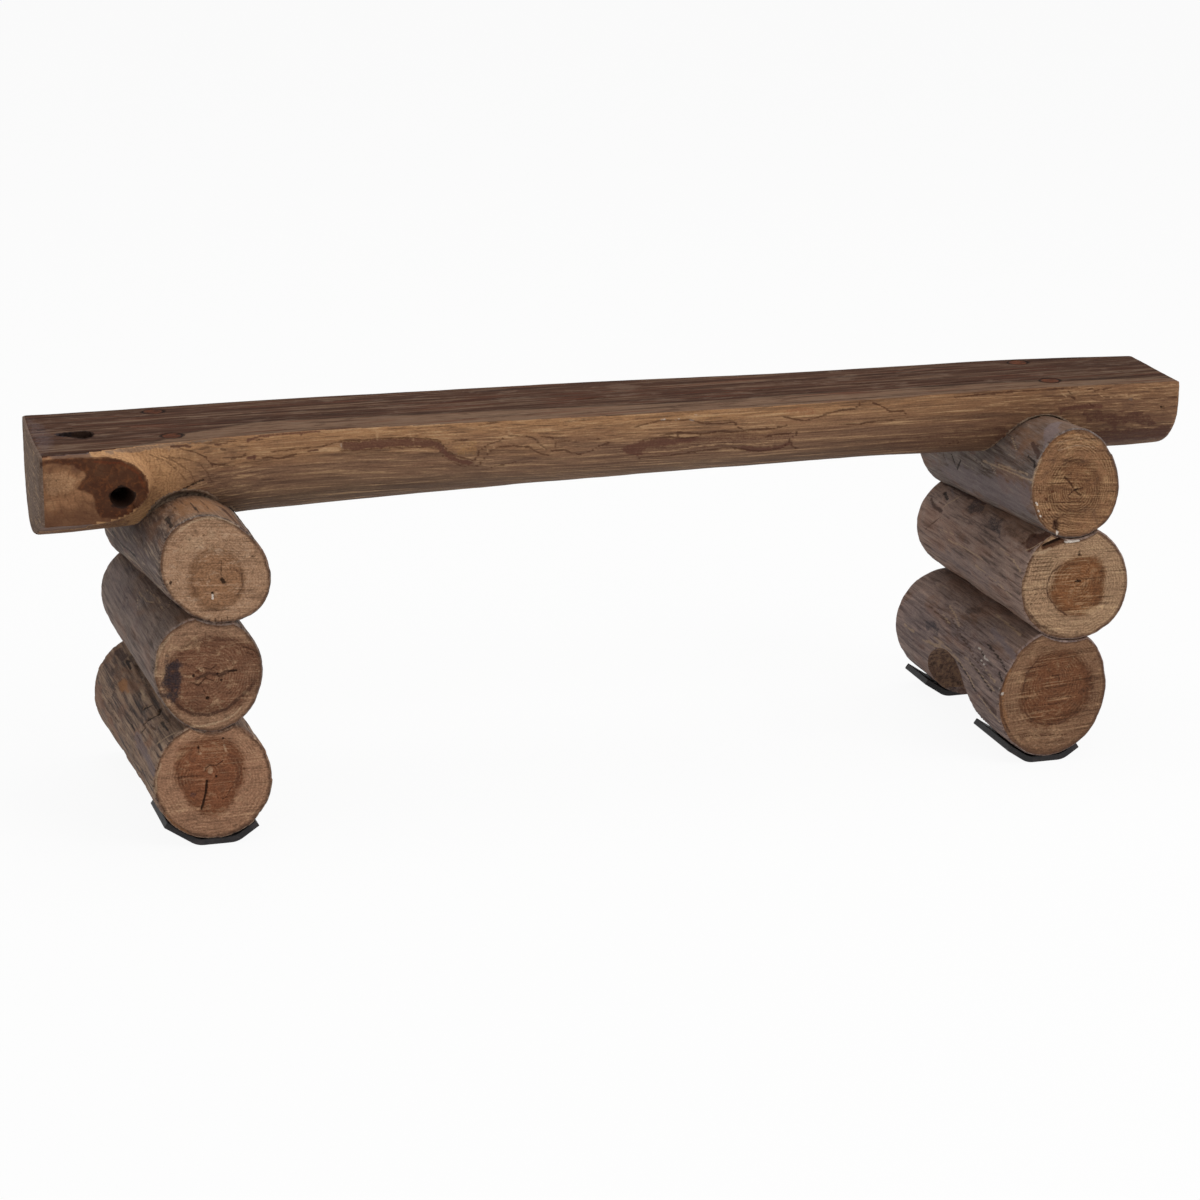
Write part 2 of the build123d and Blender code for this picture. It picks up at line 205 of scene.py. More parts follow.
def spline(knots: Array, values: Array, at: Array) -> Array:
    """A natural cubic spline: curvatures solved so that slopes agree at the knots.

    Args:
        knots: rising places.
        values: one value for each knot.
        at: where to read it.

    Returns:
        The values there.
    """
    n = len(knots)
    h = np.diff(knots)
    system = np.eye(n)
    right = np.zeros(n)
    inner = np.arange(1, n - 1)
    system[inner, inner - 1] = h[:-1]
    system[inner, inner] = 2 * (h[:-1] + h[1:])
    system[inner, inner + 1] = h[1:]
    right[inner] = 6 * np.diff(np.diff(values) / h)
    bend = np.linalg.solve(system, right)
    i = np.clip(np.searchsorted(knots, at) - 1, 0, n - 2)
    a = (knots[i + 1] - at) / h[i]
    b = 1 - a
    cubic = (a**3 - a) * bend[i] + (b**3 - b) * bend[i + 1]
    return a * values[i] + b * values[i + 1] + cubic * h[i] ** 2 / 6


def snap(gap: Array) -> tuple[Array, Array, Array]:
    """Moves grid points onto the line where a cut surface meets the round.

    A point whose distance to the line, the gap over its slope in grid steps, is under half a
    step moves there along the slope, so that the sharp line runs through points of the grid.

    Args:
        gap: how far the round stands over the cut at each point.

    Returns:
        How far each point moves over rows and over columns, in steps, and a mask of those moved.
    """
    slope_r, slope_c = np.gradient(gap)
    steep = slope_r**2 + slope_c**2 + 1e-12
    dr, dc = -gap * slope_r / steep, -gap * slope_c / steep
    near = (np.abs(dr) < 0.5) & (np.abs(dc) < 0.5)
    return np.where(near, dr, 0.0), np.where(near, dc, 0.0), near


# ---- Meshes ----


@dataclass
class Skin:
    """A closed surface on a grid: rows of closed rings, with a point at each end.

    Args:
        points: rows by columns by three, in millimetres.
        poles: the two end points.
        finish: the material index of the band after each row, rows + 1 by columns.
        marks: named values, rows by columns, with the two poles' values after them.
    """

    points: Array
    poles: tuple[Array, Array]
    finish: Array
    marks: dict[str, tuple[Array, float, float]] = field(default_factory=dict)

    def piece(self, name: str, materials: list[bpy.types.Material], sharp: float = 38.0) -> bpy.types.Object:
        """Makes the object, smooth but for edges sharper than an angle.

        Args:
            name: the piece's name.
            materials: one for each material index.
            sharp: in degrees.

        Returns:
            The object.
        """
        rows, columns = self.points.shape[:2]
        index = np.arange(rows * columns).reshape(rows, columns)
        after = np.roll(index, -1, axis=1)
        quads = np.stack([index[:-1], after[:-1], after[1:], index[1:]], axis=-1).reshape(-1, 4)
        first, last = rows * columns, rows * columns + 1
        start = np.stack([np.full(columns, first), after[0], index[0]], axis=-1)
        end = np.stack([np.full(columns, last), index[-1], after[-1]], axis=-1)
        mesh = bpy.data.meshes.new(name)
        points = np.concatenate([self.points.reshape(-1, 3), np.array(self.poles)]) * MM
        mesh.from_pydata(points.tolist(), [], quads.tolist() + start.tolist() + end.tolist())
        slots = np.concatenate([self.finish[1:-1].ravel(), self.finish[0], self.finish[-1]])
        mesh.polygons.foreach_set("material_index", slots.astype(np.int32))
        mesh.polygons.foreach_set("use_smooth", np.ones(len(mesh.polygons), dtype=bool))
        for key, (values, at_start, at_end) in self.marks.items():
            layer = mesh.attributes.new(key, "FLOAT", "POINT")
            layer.data.foreach_set("value", np.append(values.ravel(), [at_start, at_end]).astype(np.float32))
        mesh.set_sharp_from_angle(angle=np.radians(sharp))
        for material in materials:
            mesh.materials.append(material)
        made = bpy.data.objects.new(name, mesh)
        bpy.context.scene.collection.objects.link(made)
        return made


@dataclass(frozen=True)
class Bore:
    """A round hole let into a grid along an axis.

    Args:
        centre: the place in the plane, in millimetres.
        radius: half of its two widths in the plane.
        floor: where its floor is along the axis.
        reach: half the block of grid steps that it takes up.
        plane: the two axes of the plane, and the axis along which it goes in.
        inwards: which way is in, along that axis.
        floor_share: the floor's size as a share of the mouth's.
        lip: how far the mouth is broken over.
    """

    centre: tuple[float, float]
    radius: tuple[float, float]
    floor: float
    reach: int = 10
    plane: tuple[int, int, int] = (0, 1, 2)
    inwards: float = -1.0
    floor_share: float = 1.0
    lip: float = 0.35

    def sink(self, points: Array, region: Array, surface: Callable | None = None) -> Array:
        """Lets the hole in. Square rings of grid points round the nearest point become round rings.

        The innermost rings are the floor, the next two the wall and the lip, and those outside
        are spread evenly along straight rays from the lip to the block's own border.

        Args:
            points: the grid, which is changed.
            region: a mask of the points that the middle may be.
            surface: height of the surface over places in the plane, where it isn't flat.

        Returns:
            A mask of the points inside the hole.
        """
        a, b, deep = self.plane
        off = np.hypot(points[..., a] - self.centre[0], points[..., b] - self.centre[1])
        row, column = np.unravel_index(np.argmin(np.where(region, off, FAR)), off.shape)
        m = self.reach
        i, j = np.meshgrid(np.arange(-m, m + 1), np.arange(-m, m + 1), indexing="ij")
        k = np.maximum(np.abs(i), np.abs(j))
        scale = m / np.maximum(k, 1)
        edge_i, edge_j = (np.rint(step * scale).astype(int) for step in (i, j))
        border = points[row + edge_i, column + edge_j].copy()
        middle = points[row, column].copy()
        angle = np.arctan2(border[..., b] - self.centre[1], border[..., a] - self.centre[0])
        share = np.interp(k, [0, 1, 2, 3], [0.0, 0.4, 0.8, 1.0])
        bottom = k <= FLOOR_RING
        size = np.where(bottom, share * self.floor_share, 1.0)
        size = size + np.where(k >= LIP_RING, self.lip / self.radius[0], 0.0)
        rim_a = self.centre[0] + size * self.radius[0] * np.cos(angle)
        rim_b = self.centre[1] + size * self.radius[1] * np.sin(angle)
        mouth = middle[deep] if surface is None else surface(rim_a, rim_b)
        mouth = mouth + self.inwards * np.where(k == MOUTH_RING, self.lip, 0.0)
        rim = np.stack([rim_a, rim_b, np.where(bottom, self.floor, mouth)], axis=-1)
        outside = np.clip((k - LIP_RING) / (m - LIP_RING), 0.0, 1.0)
        block = np.empty(border.shape)
        for axis, value in zip((a, b, deep), np.moveaxis(rim, -1, 0)):
            block[..., axis] = mix(value, border[..., axis], outside)
        if surface is not None:
            level = surface(block[..., a], block[..., b])
            block[..., deep] = np.where(k > MOUTH_RING, level, block[..., deep])
        points[row - m : row + m + 1, column - m : column + m + 1] = block
        inside = np.zeros(off.shape, dtype=bool)
        inside[row - m : row + m + 1, column - m : column + m + 1] = k <= MOUTH_RING
        return inside


# ---- The round of each piece ----


@dataclass(frozen=True)
class LogEnd:
    """The section at one end of a log: an oval, with its crown to one side or narrowed."""

    shift: float
    half_width: float
    half_height: float
    egg: float = 0.0
    lean: float = 0.0


@dataclass(frozen=True)
class LogShape:
    """One tapering log: its two end sections and where they stand."""

    line_x: float
    length: float
    front: LogEnd
    back: LogEnd
    heights: tuple[float, float]

    def values(self, y: Array) -> tuple[Array, ...]:
        """Middle x and z, half width, half height, egg and lean at places along the log."""
        share = y / self.length + 0.5
        f, b = self.front, self.back
        return (
            self.line_x + mix(f.shift, b.shift, share),
            mix(*self.heights, share),
            mix(f.half_width, b.half_width, share),
            mix(f.half_height, b.half_height, share),
            mix(f.egg, b.egg, share),
            mix(f.lean, b.lean, share),
        )

    def at(self, turn: Array, y: Array, grow: Array | float = 0.0) -> tuple[Array, Array]:
        """The outline at an angle: an oval, sheared by its lean and narrowed upwards by its egg."""
        x, z, wide, high, egg, lean = self.values(y)
        c, s = np.cos(turn), np.sin(turn)
        return x + (wide + grow) * c * (1 - egg * s) + lean * s, z + (high + grow) * s

    def level(self, x: Array, y: Array, grow: Array | float, side: float) -> Array:
        """Height of the upper (side 1) or lower (side -1) surface over a place, by repeated guesses.

        The sine of the angle is found by solving the outline's x for its cosine a few times.
        Beside the log the height of its middle is given.
        """
        middle, z, wide, high, egg, lean = self.values(y)
        s = np.full(np.shape(x), side * 1.0)
        for _ in range(8):
            c = np.clip((x - middle - lean * s) / ((wide + grow) * (1 - egg * s)), -1.0, 1.0)
            s = mix(s, side * np.sqrt(1 - c * c), 0.8)
        return z + (high + grow) * s

    def crown(self, y: float) -> float:
        """Height of the crown at one place along the log."""
        _, z, _, high, _, _ = self.values(y)
        return z + high


@dataclass(frozen=True)
class BeamShape:
    """The crooked round of the beam: stations of its middle, heart drop and radius along it."""

    stations: tuple = (
        (-1.00, 20.0, 16.0, 100.0),
        (-0.84, 27.0, 23.0, 93.0),
        (-0.65, 36.5, 25.5, 86.5),
        (-0.35, 29.0, 19.0, 84.0),
        (0.00, 15.5, 10.0, 86.0),
        (0.35, 2.5, 11.0, 79.5),
        (0.72, -0.5, 16.5, 78.5),
        (0.88, -9.5, 19.0, 77.5),
        (1.00, -19.5, 20.0, 73.5),
    )

    def values(self, x: Array) -> tuple[Array, Array, Array]:
        """Middle y, height of the heart and radius at places along the beam."""
        along, middle, drop, radius = np.array(self.stations).T
        knots = along * (BENCH_LENGTH / 2 + 1)
        return spline(knots, middle, x), SEAT_TOP - spline(knots, drop, x), spline(knots, radius, x)

    def underside(self, x: Array, y: Array, grow: float = 0.0) -> Array:
        """Height of the round's underside, or of its heart beside it."""
        middle, heart, radius = self.values(x)
        return heart - np.sqrt(np.maximum((radius + grow) ** 2 - (y - middle) ** 2, 0.0))


BEAM = BeamShape()


def stub_reach(x: Array, turn: Array, middle: Array, heart: Array) -> Array:
    """How far the sawn branch stub reaches from the beam's heart along each ray.

    The stub is an oval cone cut off by a plane, so the furthest of evenly spaced steps along
    the ray that still lies within it is found, and refined by the cone's own measure there.
    """
    steps = np.linspace(70.0, 135.0, 131)
    y = middle[..., None] + np.cos(turn)[..., None] * steps
    z = heart[..., None] + np.sin(turn)[..., None] * steps
    swell = STUB_SWELL * np.clip((y - STUB_FACE_Y) / (STUB_ROOT_Y - STUB_FACE_Y), 0.0, 1.0)
    wide = (np.maximum(x[..., None] - STUB_X, 0.0) / (STUB_HALF[0] + swell)) ** 2
    high = ((z - STUB_Z) / (STUB_HALF[1] + swell)) ** 2
    cone = 1 - np.sqrt(wide + high)
    inside = np.minimum(cone * 50.0, y - STUB_FACE_Y)
    hit = (inside > 0) & (y < STUB_ROOT_Y)
    last = np.where(hit.any(axis=-1), hit.shape[-1] - 1 - np.argmax(hit[..., ::-1], axis=-1), 0)
    last = np.minimum(last, len(steps) - 2)
    here = np.take_along_axis(inside, last[..., None], axis=-1)[..., 0]
    there = np.take_along_axis(inside, last[..., None] + 1, axis=-1)[..., 0]
    part = np.clip(here / np.maximum(here - there, 1e-6), 0.0, 1.0)
    reach = mix(steps[last], steps[last + 1], part)
    return np.where(hit.any(axis=-1), reach, 0.0)


# tones of the marks: stains, cracks and flakes, and also painted shade where brown and dark marks stand in
# for it
STAINS_AND_PAINTED_SHADE = {
    "grey": ("756869", 0.6),
    "ochre": ("96653b", 0.75),
    "brown": ("3f2a22", 0.85),
    "red": ("4a2a1c", 0.85),
    "blue": ("2b2a31", 0.85),
    "pale": ("b89c7e", 0.5),
    "white": ("d8cfc4", 0.75),
    "line": ("3a241a", 0.7),
    "dark": ("150d0a", 0.85),
}


@dataclass(frozen=True)
class Mark:
    """A mark along a broken line on a surface: a crack, knot, stain or beetle's gallery, or a band of painted
    shade.
    """

    kind: str
    track: tuple
    width: float
    depth: float = 0.0
    strength: float = 1.0

    def share(self, u: Array, v: Array, scale: float, rough: Array | float) -> Array:
        """How much of the mark lies at each place: 1 on its line, eased to 0 at its width."""
        track = self.track if len(self.track) > 1 else self.track * 2
        off = track_distance(u, v * scale, tuple((a, b * scale) for a, b in track)) * (1 + rough)
        return self.strength * (1 - ease(0.45 * self.width, 1.15 * self.width, off))


@dataclass(frozen=True)
class Patch:
    """A mark that fills a closed outline, eased over a given width at its border."""

    kind: str
    outline: tuple
    width: float = 3.0
    depth: float = 0.0
    strength: float = 1.0

    def share(self, u: Array, v: Array, scale: float, rough: Array | float) -> Array:
        """Inside by counting how often a ray to the right crosses the outline, eased by distance."""
        corners = tuple((a, b * scale) for a, b in self.outline)
        closed = corners + corners[:1]
        v = v * scale
        inside = np.zeros(np.shape(u), dtype=bool)
        for (u0, v0), (u1, v1) in zip(closed, closed[1:]):
            if v0 != v1:
                crosses = (v0 > v) != (v1 > v)
                inside ^= crosses & (u < u0 + (u1 - u0) * (v - v0) / (v1 - v0))
        off = track_distance(u, v, closed)
        signed = np.where(inside, off, -off) + 2.2 * self.width * rough
        return self.strength * ease(-self.width, self.width, signed)


def read_marks(text: str) -> tuple:
    """Marks written as a kind, width, depth and strength, a colon, and the places of each track.

    Args:
        text: the lines. A slash parts two tracks, a line that begins with fill holds patches with
            closed outlines, and one that begins with a space goes on with the line before.

    Returns:
        The marks.
    """
    marks = []
    for line in text.strip().replace("\n ", " ").splitlines():
        head, tracks = line.split(":")
        filled, (kind, *sizes) = head.startswith("fill"), head.replace("fill", "").split()
        for places in tracks.split("/"):
            track = tuple(tuple(float(v) for v in place.split(",")) for place in places.split())
            marks.append((Patch if filled else Mark)(kind, track, *(float(v) for v in sizes)))
    return tuple(marks)


def marked(
    marks: tuple, u: Array, v: Array, rough: Array | float = 0.0, scale: float = 1.0
) -> tuple[dict[str, Array], Array]:
    """Gathers marks into one field for each kind, with the depth that they are sunk.

    Args:
        marks: the marks.
        u: first coordinate of each place.
        v: second coordinate of each place.
        rough: ripples of the marks' outlines, as a share.
        scale: millimetres for one unit of the second coordinate.

    Returns:
        The fields by kind, and the depth field in millimetres.
    """
    fields = {kind: np.zeros(np.shape(u)) for kind in STAINS_AND_PAINTED_SHADE}
    depth = np.zeros(np.shape(u))
    for mark in marks:
        share = mark.share(u, v, scale, rough)
        fields[mark.kind] = np.maximum(fields[mark.kind], share)
        depth = depth + share * mark.depth
    return fields, depth


@dataclass(frozen=True)
class HeartRing:
    """The outline of a log's heartwood on an end: corners round a middle."""

    middle: tuple[float, float]
    corners: tuple

    def field_at(self, x: Array, z: Array) -> Array:
        """One less the distance over the outline's reach in that direction: positive inside."""
        dx, dz = (np.array(self.corners) - self.middle).T
        reach = np.interp(
            np.arctan2(z - self.middle[1], x - self.middle[0]),
            *zip(*sorted(zip(np.arctan2(dz, dx), np.hypot(dx, dz)))),
            period=TAU,
        )
        return 1 - np.hypot(x - self.middle[0], z - self.middle[1]) / reach


@dataclass
class StackLog:
    """One log of a stack: bark-stripped round, sawn ends, scoop or saddle, and foot arch.

    Args:
        name: the node that it replaces.
        shape: its tapering round.
        above: the round of the log that lies in its scoop, for all but the top logs.
        saddle: height of the saddle that the beam lies in, for the top logs.
        arch: middle, span and top of the foot arch, for the bottom logs.
        pith: the heart of the front end, from the middle of its section.
        heart: the outline of the heartwood, from the middle of the section.
        marks: on the front end, from the middle of the section.
        flank_marks: on the round, as angle in degrees and place along the log.
        seed: of its relief.
        bark: millimetres that plates of old bark stand out.
        pockets: bores in its underside.
    """

    name: str
    shape: LogShape
    above: LogShape | None = None
    saddle: float | None = None
    arch: tuple[float, float, float] | None = None
    pith: tuple[float, float] = (0.0, 0.0)
    heart: HeartRing = HeartRing((0.0, 0.0), ((38.0, 0.0), (0.0, 38.0), (-38.0, 0.0), (0.0, -38.0)))
    marks: tuple = ()
    flank_marks: tuple = ()
    seed: int = 1
    bark: float = 0.25
    pockets: tuple = ()
    columns: int = 220
    end_rows: tuple[int, int] = (52, 22)
    step: float = 2.05

    def relief_at(self, turn: Array, y: Array) -> Array:
        """How far the round stands out, in millimetres.

        Long swells, small bumps, fine ridges along the grain, and lifted plates of old bark.
        """
        x, _ = self.shape.at(turn, y)
        round_x, round_z = LOG_ROUND * np.cos(turn), LOG_ROUND * np.sin(turn)
        place = np.stack([round_x, y, round_z], axis=-1)
        swell = fractal(place / 55.0, self.seed, 2) * 0.9
        bumps = fractal(place / np.array([14.0, 34.0, 14.0]), self.seed + 5, 2) * 0.3
        ridges = lattice(place / np.array([3.2, 48.0, 3.2]), self.seed + 9) * 0.22
        plates = fractal(place / np.array([17.0, 45.0, 17.0]), self.seed + 13, 2)
        plates = ease(0.12, 0.24, plates) * self.bark
        dents = ease(0.35, 0.8, lattice(place / np.array([20.0, 30.0, 20.0]), self.seed + 21)) * 1.1
        return swell + bumps + ridges + plates - dents - 0.35

    def round_at(self, turn: Array, y: Array) -> tuple[Array, Array]:
        """The outline with its relief."""
        x, z = self.shape.at(turn, y)
        stand = self.relief_at(turn, y)
        return x + stand * np.cos(turn), z + stand * np.sin(turn)

    def cut_level(self, x: Array, y: Array) -> Array:
        """Height that the crown is cut down to: the scoop for the log above, or the saddle.

        The saddle is the greater of its flat floor and the beam's own round.
        """
        if self.above is not None:
            return self.above.level(x, y, SCOOP_GAP, -1.0)
        return np.maximum(self.saddle, BEAM.underside(x, y, SCOOP_GAP))

    def rows(self) -> tuple[Array, Array]:
        """Places of the rings along the log, and a mask of those inside the foot arch.

        Rings are evenly spaced, but under the arch they follow the cosine of an even angle, and
        each jamb has two rings at one place.
        """
        half = self.shape.length / 2 - END_BREAK
        if self.arch is None:
            y = np.linspace(-half, half, int(2 * half / self.step))
            return y, np.zeros(len(y), dtype=bool)
        middle, span, _ = self.arch
        start, end = middle - span / 2, middle + span / 2
        before = np.linspace(-half, start, int((start + half) / self.step))
        after = np.linspace(end, half, int((half - end) / self.step))
        under = middle - span / 2 * np.cos(np.linspace(0, np.pi, int(span / self.step * 1.15)))
        y = np.concatenate([before, under, after])
        inside = np.zeros(len(y), dtype=bool)
        inside[len(before) : len(before) + len(under)] = True
        return y, inside

    def side(self) -> tuple[Array, Array]:
        """The round between the two ends, with its scoop or saddle and its arch.

        Returns:
            The points, and a mask of those on a cut.
        """
        row_y, arched = self.rows()
        columns = self.columns
        even = np.arange(columns) * TAU / columns + np.pi / 2
        y, turn = np.meshgrid(row_y, even, indexing="ij")
        x, z = self.round_at(turn, y)
        upper = np.sin(turn) > 0.05
        gap = np.where(upper, z - self.cut_level(x, y), -20.0)
        ceiling = np.zeros(y.shape)
        if self.arch is not None:
            ceiling = np.where(arched[:, None], self.arch_roof(y), 0.0)
            gap = np.where(upper & (z > ceiling + 12), gap, ceiling - z)
        wrap = np.concatenate([gap[:, -1:], gap, gap[:, :1]], axis=1)
        drift, moved, near = (part[:, 1:-1] for part in snap(wrap))
        turn = turn + moved * TAU / columns
        if self.arch is None:
            drift[0] = drift[-1] = 0
            y = y + drift * (row_y[1] - row_y[0])
        x, z = self.round_at(turn, y)
        level = self.cut_level(x, y)
        scooped = upper & ((z > level) | (near & (np.abs(z - level) < NEAR_CUT)))
        z = np.where(scooped, level, z)
        cut = scooped
        if self.arch is not None:
            under = (z < ceiling + 1e-3) | (near & (np.abs(z - ceiling) < NEAR_CUT) & ~scooped)
            under &= arched[:, None]
            right = self.outline_x(y, ceiling, 1.0)
            left = self.outline_x(y, ceiling, -1.0)
            x = np.where(under, np.clip(x, left, right), x)
            rough = fractal(np.stack([x, y, y * 0], axis=-1) / 9.0, self.seed + 31, 2) * 0.4
            z = np.where(under, ceiling + np.where((x > left + 3) & (x < right - 3), rough, 0.0), z)
            cut = cut | under
        points = np.stack([x, y, z], axis=-1)
        for bore in self.pockets:
            inside = bore.sink(points, np.sin(turn) < -0.6, self.underside)
            cut = cut | inside
        return points, cut

    def arch_roof(self, y: Array) -> Array:
        """Height of the foot arch's roof, half an oval that springs from the jambs."""
        middle, span, top = self.arch
        part = np.clip(1 - ((y - middle) / (span / 2)) ** 2, 0.0, 1.0)
        return ARCH_SPRING + (top - ARCH_SPRING) * np.sqrt(part)

    def underside(self, x: Array, y: Array) -> Array:
        """Height of the log's lower surface: its round or, if higher, the roof of the foot arch."""
        roof = self.arch_roof(y)
        roof = np.where(roof > ARCH_SPRING, roof, 0.0)
        return np.maximum(roof, self.shape.level(x, y, 0.0, -1.0))

    def outline_x(self, y: Array, level: Array, side: float) -> Array:
        """X of the round at a height, on the right (1) or the left (-1)."""
        x, z, wide, high, egg, lean = self.shape.values(y)
        s = np.clip((level - z) / high, -1.0, 1.0)
        return x + side * wide * np.sqrt(1 - s * s) * (1 - egg * s) + lean * s

    def end(self, ring: Array, rows: int, at_back: bool) -> tuple[Array, dict[str, Array], Array]:
        """A sawn end: straight rays from the pith to the rim, sunk by saw marks and cracks.

        Args:
            ring: the first or last ring of the round.
            rows: how many rings the end has.
            at_back: which end.

        Returns:
            Points by rows from the rim inwards, the marks' fields, and the pith.
        """
        outwards = 1.0 if at_back else -1.0
        face = outwards * self.shape.length / 2
        middle_x, middle_z = self.shape.values(np.array(face))[:2]
        pith = np.array([middle_x + self.pith[0] * -outwards, face, middle_z + self.pith[1]])
        radius = np.hypot(ring[:, 0] - pith[0], ring[:, 2] - pith[2])
        rim = 1 - 0.8 * END_BREAK / radius
        share = np.concatenate([[1.0], np.linspace(1.0, 0.0, rows + 1)[1:-1]])
        size = share[:, None] * rim
        points = pith + size[..., None] * (ring - pith)
        x, z = (points[..., 0] - middle_x) * -outwards, points[..., 2] - middle_z
        place = np.stack([points[..., 0], points[..., 1] * 0 + self.seed, points[..., 2]], axis=-1)
        rough = fractal(place / 6.0, self.seed + 3, 2)
        fields, depth = marked(() if at_back else self.marks, x, z, 0.35 * rough)
        fields["heart"] = self.heart.field_at(x, z)
        saw = lattice(place / np.array([60.0, 1.0, 2.3]), self.seed + 41) * 0.22 + 0.25
        wear = np.abs(fractal(place / 14.0, self.seed + 43, 2)) * 0.4
        depth = depth + saw + wear * ease(0.0, 0.3, 1 - share)[:, None]
        points[..., 1] = face - outwards * depth
        fields["ring"] = share[:, None] * np.ones(len(ring))
        return points, fields, pith - np.array([0.0, outwards * 0.5, 0.0])

    def skin(self) -> Skin:
        """The whole closed surface: front end, round, back end."""
        side, cut = self.side()
        front, front_fields, front_pith = self.end(side[0], self.end_rows[0], False)
        back, back_fields, back_pith = self.end(side[-1], self.end_rows[1], True)
        points = np.concatenate([front[::-1], side, back])
        x, z = side[..., 0], side[..., 2]
        middle_x, middle_z = self.shape.values(side[..., 1])[:2]
        angle = np.degrees(np.arctan2(z - middle_z, x - middle_x)) % 360
        place = side / np.array([7.0, 12.0, 7.0])
        rough = 0.5 * fractal(place, self.seed, 2)
        fields, depth = marked(self.flank_marks, side[..., 1], angle, rough, STACK_DEGREE)
        lean = np.stack([x - middle_x, side[..., 1] * 0, z - middle_z], axis=-1)
        lean /= np.linalg.norm(lean, axis=-1, keepdims=True)
        points[len(front) : len(front) + len(side)] -= lean * (depth * ~cut)[..., None]
        fields["ring"] = np.ones(x.shape)
        fields["heart"] = (z - middle_z) / LOG_ROUND
        marks = {}
        for key, values in fields.items():
            stacked = np.concatenate([front_fields[key][::-1], values, back_fields[key]])
            marks[key] = (stacked, float(front_fields[key][-1].mean()), float(back_fields[key][-1].mean()))
        return Skin(points, (front_pith, back_pith), self.bands(cut, len(front), len(back)), marks)

    def bands(self, cut: Array, front: int, back: int) -> Array:
        """The finish of each band: a cut where all four corners are on one, flank at the rims.

        Args:
            cut: a mask of the round's points that lie on a cut.
            front: how many rings the front end has.
            back: how many rings the back end has.

        Returns:
            One index for each band and column.
        """
        corner = cut[:-1] & cut[1:]
        corner &= np.roll(corner, -1, axis=1)
        side = len(cut)
        bands = np.full((front + side + back + 1, cut.shape[1]), LogBand.FLANK, dtype=int)
        bands[:front] = LogBand.FRONT
        bands[front + 1 : front + side][corner] = LogBand.CUT
        bands[front + side + 1 :] = LogBand.BACK
        return bands


